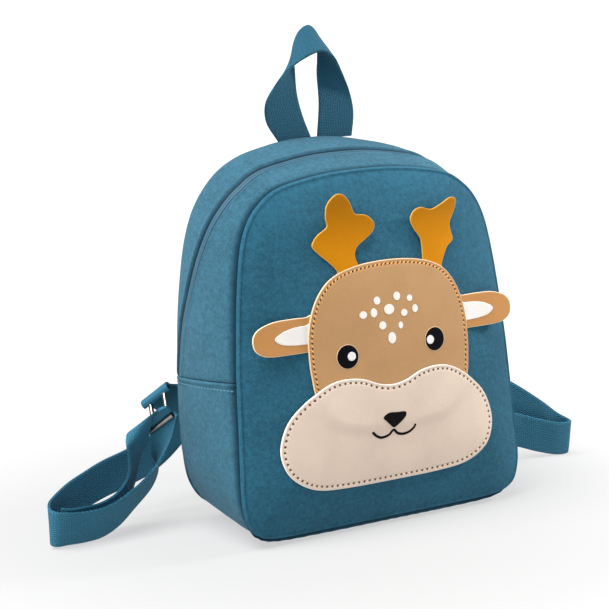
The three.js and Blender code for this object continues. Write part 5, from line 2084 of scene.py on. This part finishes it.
@dataclass
class Camera:
    """The photo's view: angles in degrees, distances in metres."""

    azimuth: float = 33.6
    elevation: float = 10.39
    roll: float = -1.16
    distance: float = 1.4587
    lens: float = 131.9
    target: Place = (-0.03374, 0.0, 0.14404)

    def build(self) -> None:
        """Adds the camera and makes it the scene's."""
        a, e, r = (math.radians(k) for k in (self.azimuth, self.elevation, self.roll))
        back = np.array([-math.sin(a) * math.cos(e), -math.cos(a) * math.cos(e), math.sin(e)])
        right = unit(np.cross(-back, np.array([0, 0, 1.0])))
        up = np.cross(right, -back)
        right, up = right * math.cos(r) + up * math.sin(r), up * math.cos(r) - right * math.sin(r)
        data = bpy.data.cameras.new("camera")
        data.lens = self.lens
        data.clip_end = 50
        camera = bpy.data.objects.new("camera", data)
        camera.matrix_world = axes_matrix(np.array(self.target) + back * self.distance, right, up, back)
        bpy.context.scene.collection.objects.link(camera)
        bpy.context.scene.camera = camera


@dataclass
class Studio:
    """Floor that looks pale by its own painted glow, and soft light."""

    floor_size: float = 40.0
    world: float = 0.34
    floor_colour: float = 0.16
    near_glow: float = 0.56
    far_glow: float = 0.85
    glow_from: float = 0.10
    glow_to: float = 0.55

    def add_sun(self, name: str, toward: Place, strength: float, softness: float) -> None:
        """A soft even light from one side.

        Args:
            name: the light's name.
            toward: direction from the object to the light.
            strength: of the light.
            softness: angle that the light fills, in degrees.
        """
        data = bpy.data.lights.new(name, "SUN")
        data.energy = strength
        data.angle = math.radians(softness)
        light = bpy.data.objects.new(name, data)
        light.rotation_euler = Vector(toward).to_track_quat("Z", "Y").to_euler()
        bpy.context.scene.collection.objects.link(light)

    def add_lamp(self, name: str, stands: Place, aim: Place, size: float, power: float) -> None:
        """A square soft lamp close to the object.

        Args:
            name: the light's name.
            stands: where its middle is.
            aim: the point that it faces.
            size: side of its face.
            power: of the lamp, in watts.
        """
        data = bpy.data.lights.new(name, "AREA")
        data.energy = power
        data.size = size
        light = bpy.data.objects.new(name, data)
        light.location = stands
        light.rotation_euler = (Vector(stands) - Vector(aim)).to_track_quat("Z", "Y").to_euler()
        bpy.context.scene.collection.objects.link(light)

    def build(self) -> None:
        """Floor, sky and lights."""
        bpy.ops.object.select_all(action="DESELECT")
        bpy.ops.mesh.primitive_plane_add(size=self.floor_size)
        floor = bpy.context.object
        floor.name = "floor"
        pale = Shader("floor_glow", roughness=0.7, specular=0.2)
        pale.colour((self.floor_colour,) * 3)
        # Painted light: the dark floor glows, dimmer near the bag so that the lamps' shadows show on it,
        # brighter far off as a white backdrop; the glow also lights the bag from below.
        pale.surface.inputs["Emission Color"].default_value = (1, 1, 1, 1)
        across, along, _ = pale.split(pale.coords.outputs["Object"])
        away = pale.distance(across, along)
        glow = pale.span(away, self.glow_from, self.glow_to, self.near_glow, self.far_glow)
        pale.link(glow, pale.surface.inputs["Emission Strength"])
        floor.data.materials.append(pale.material)
        sky = bpy.data.worlds.new("sky")
        sky.use_nodes = True
        sky.node_tree.nodes["Background"].inputs["Color"].default_value = (1, 1, 1, 1)
        sky.node_tree.nodes["Background"].inputs["Strength"].default_value = self.world
        bpy.context.scene.world = sky
        self.add_sun("top_left_softbox", (-0.42, -0.03, 0.9), 4.8, 46)
        self.add_sun("left_low_fill", (-0.95, -0.28, 0.25), 0.65, 40)
        self.add_lamp("right_key", (0.66, -0.19, 0.43), (0.05, -0.05, 0.17), 0.10, 4.2)
        bpy.context.scene.view_settings.view_transform = "Standard"


def main() -> None:
    """Builds the backpack and its studio, in order."""
    logging.basicConfig(level=logging.INFO, format="%(name)s: %(message)s")
    Camera().build()
    Studio().build()
    finishes = Finishes()
    shape = BodyShape()
    ClothBody(shape, finishes).build()
    Face(shape, finishes).build()
    Webbing(shape, finishes).build()


if __name__ == "__main__":
    main()
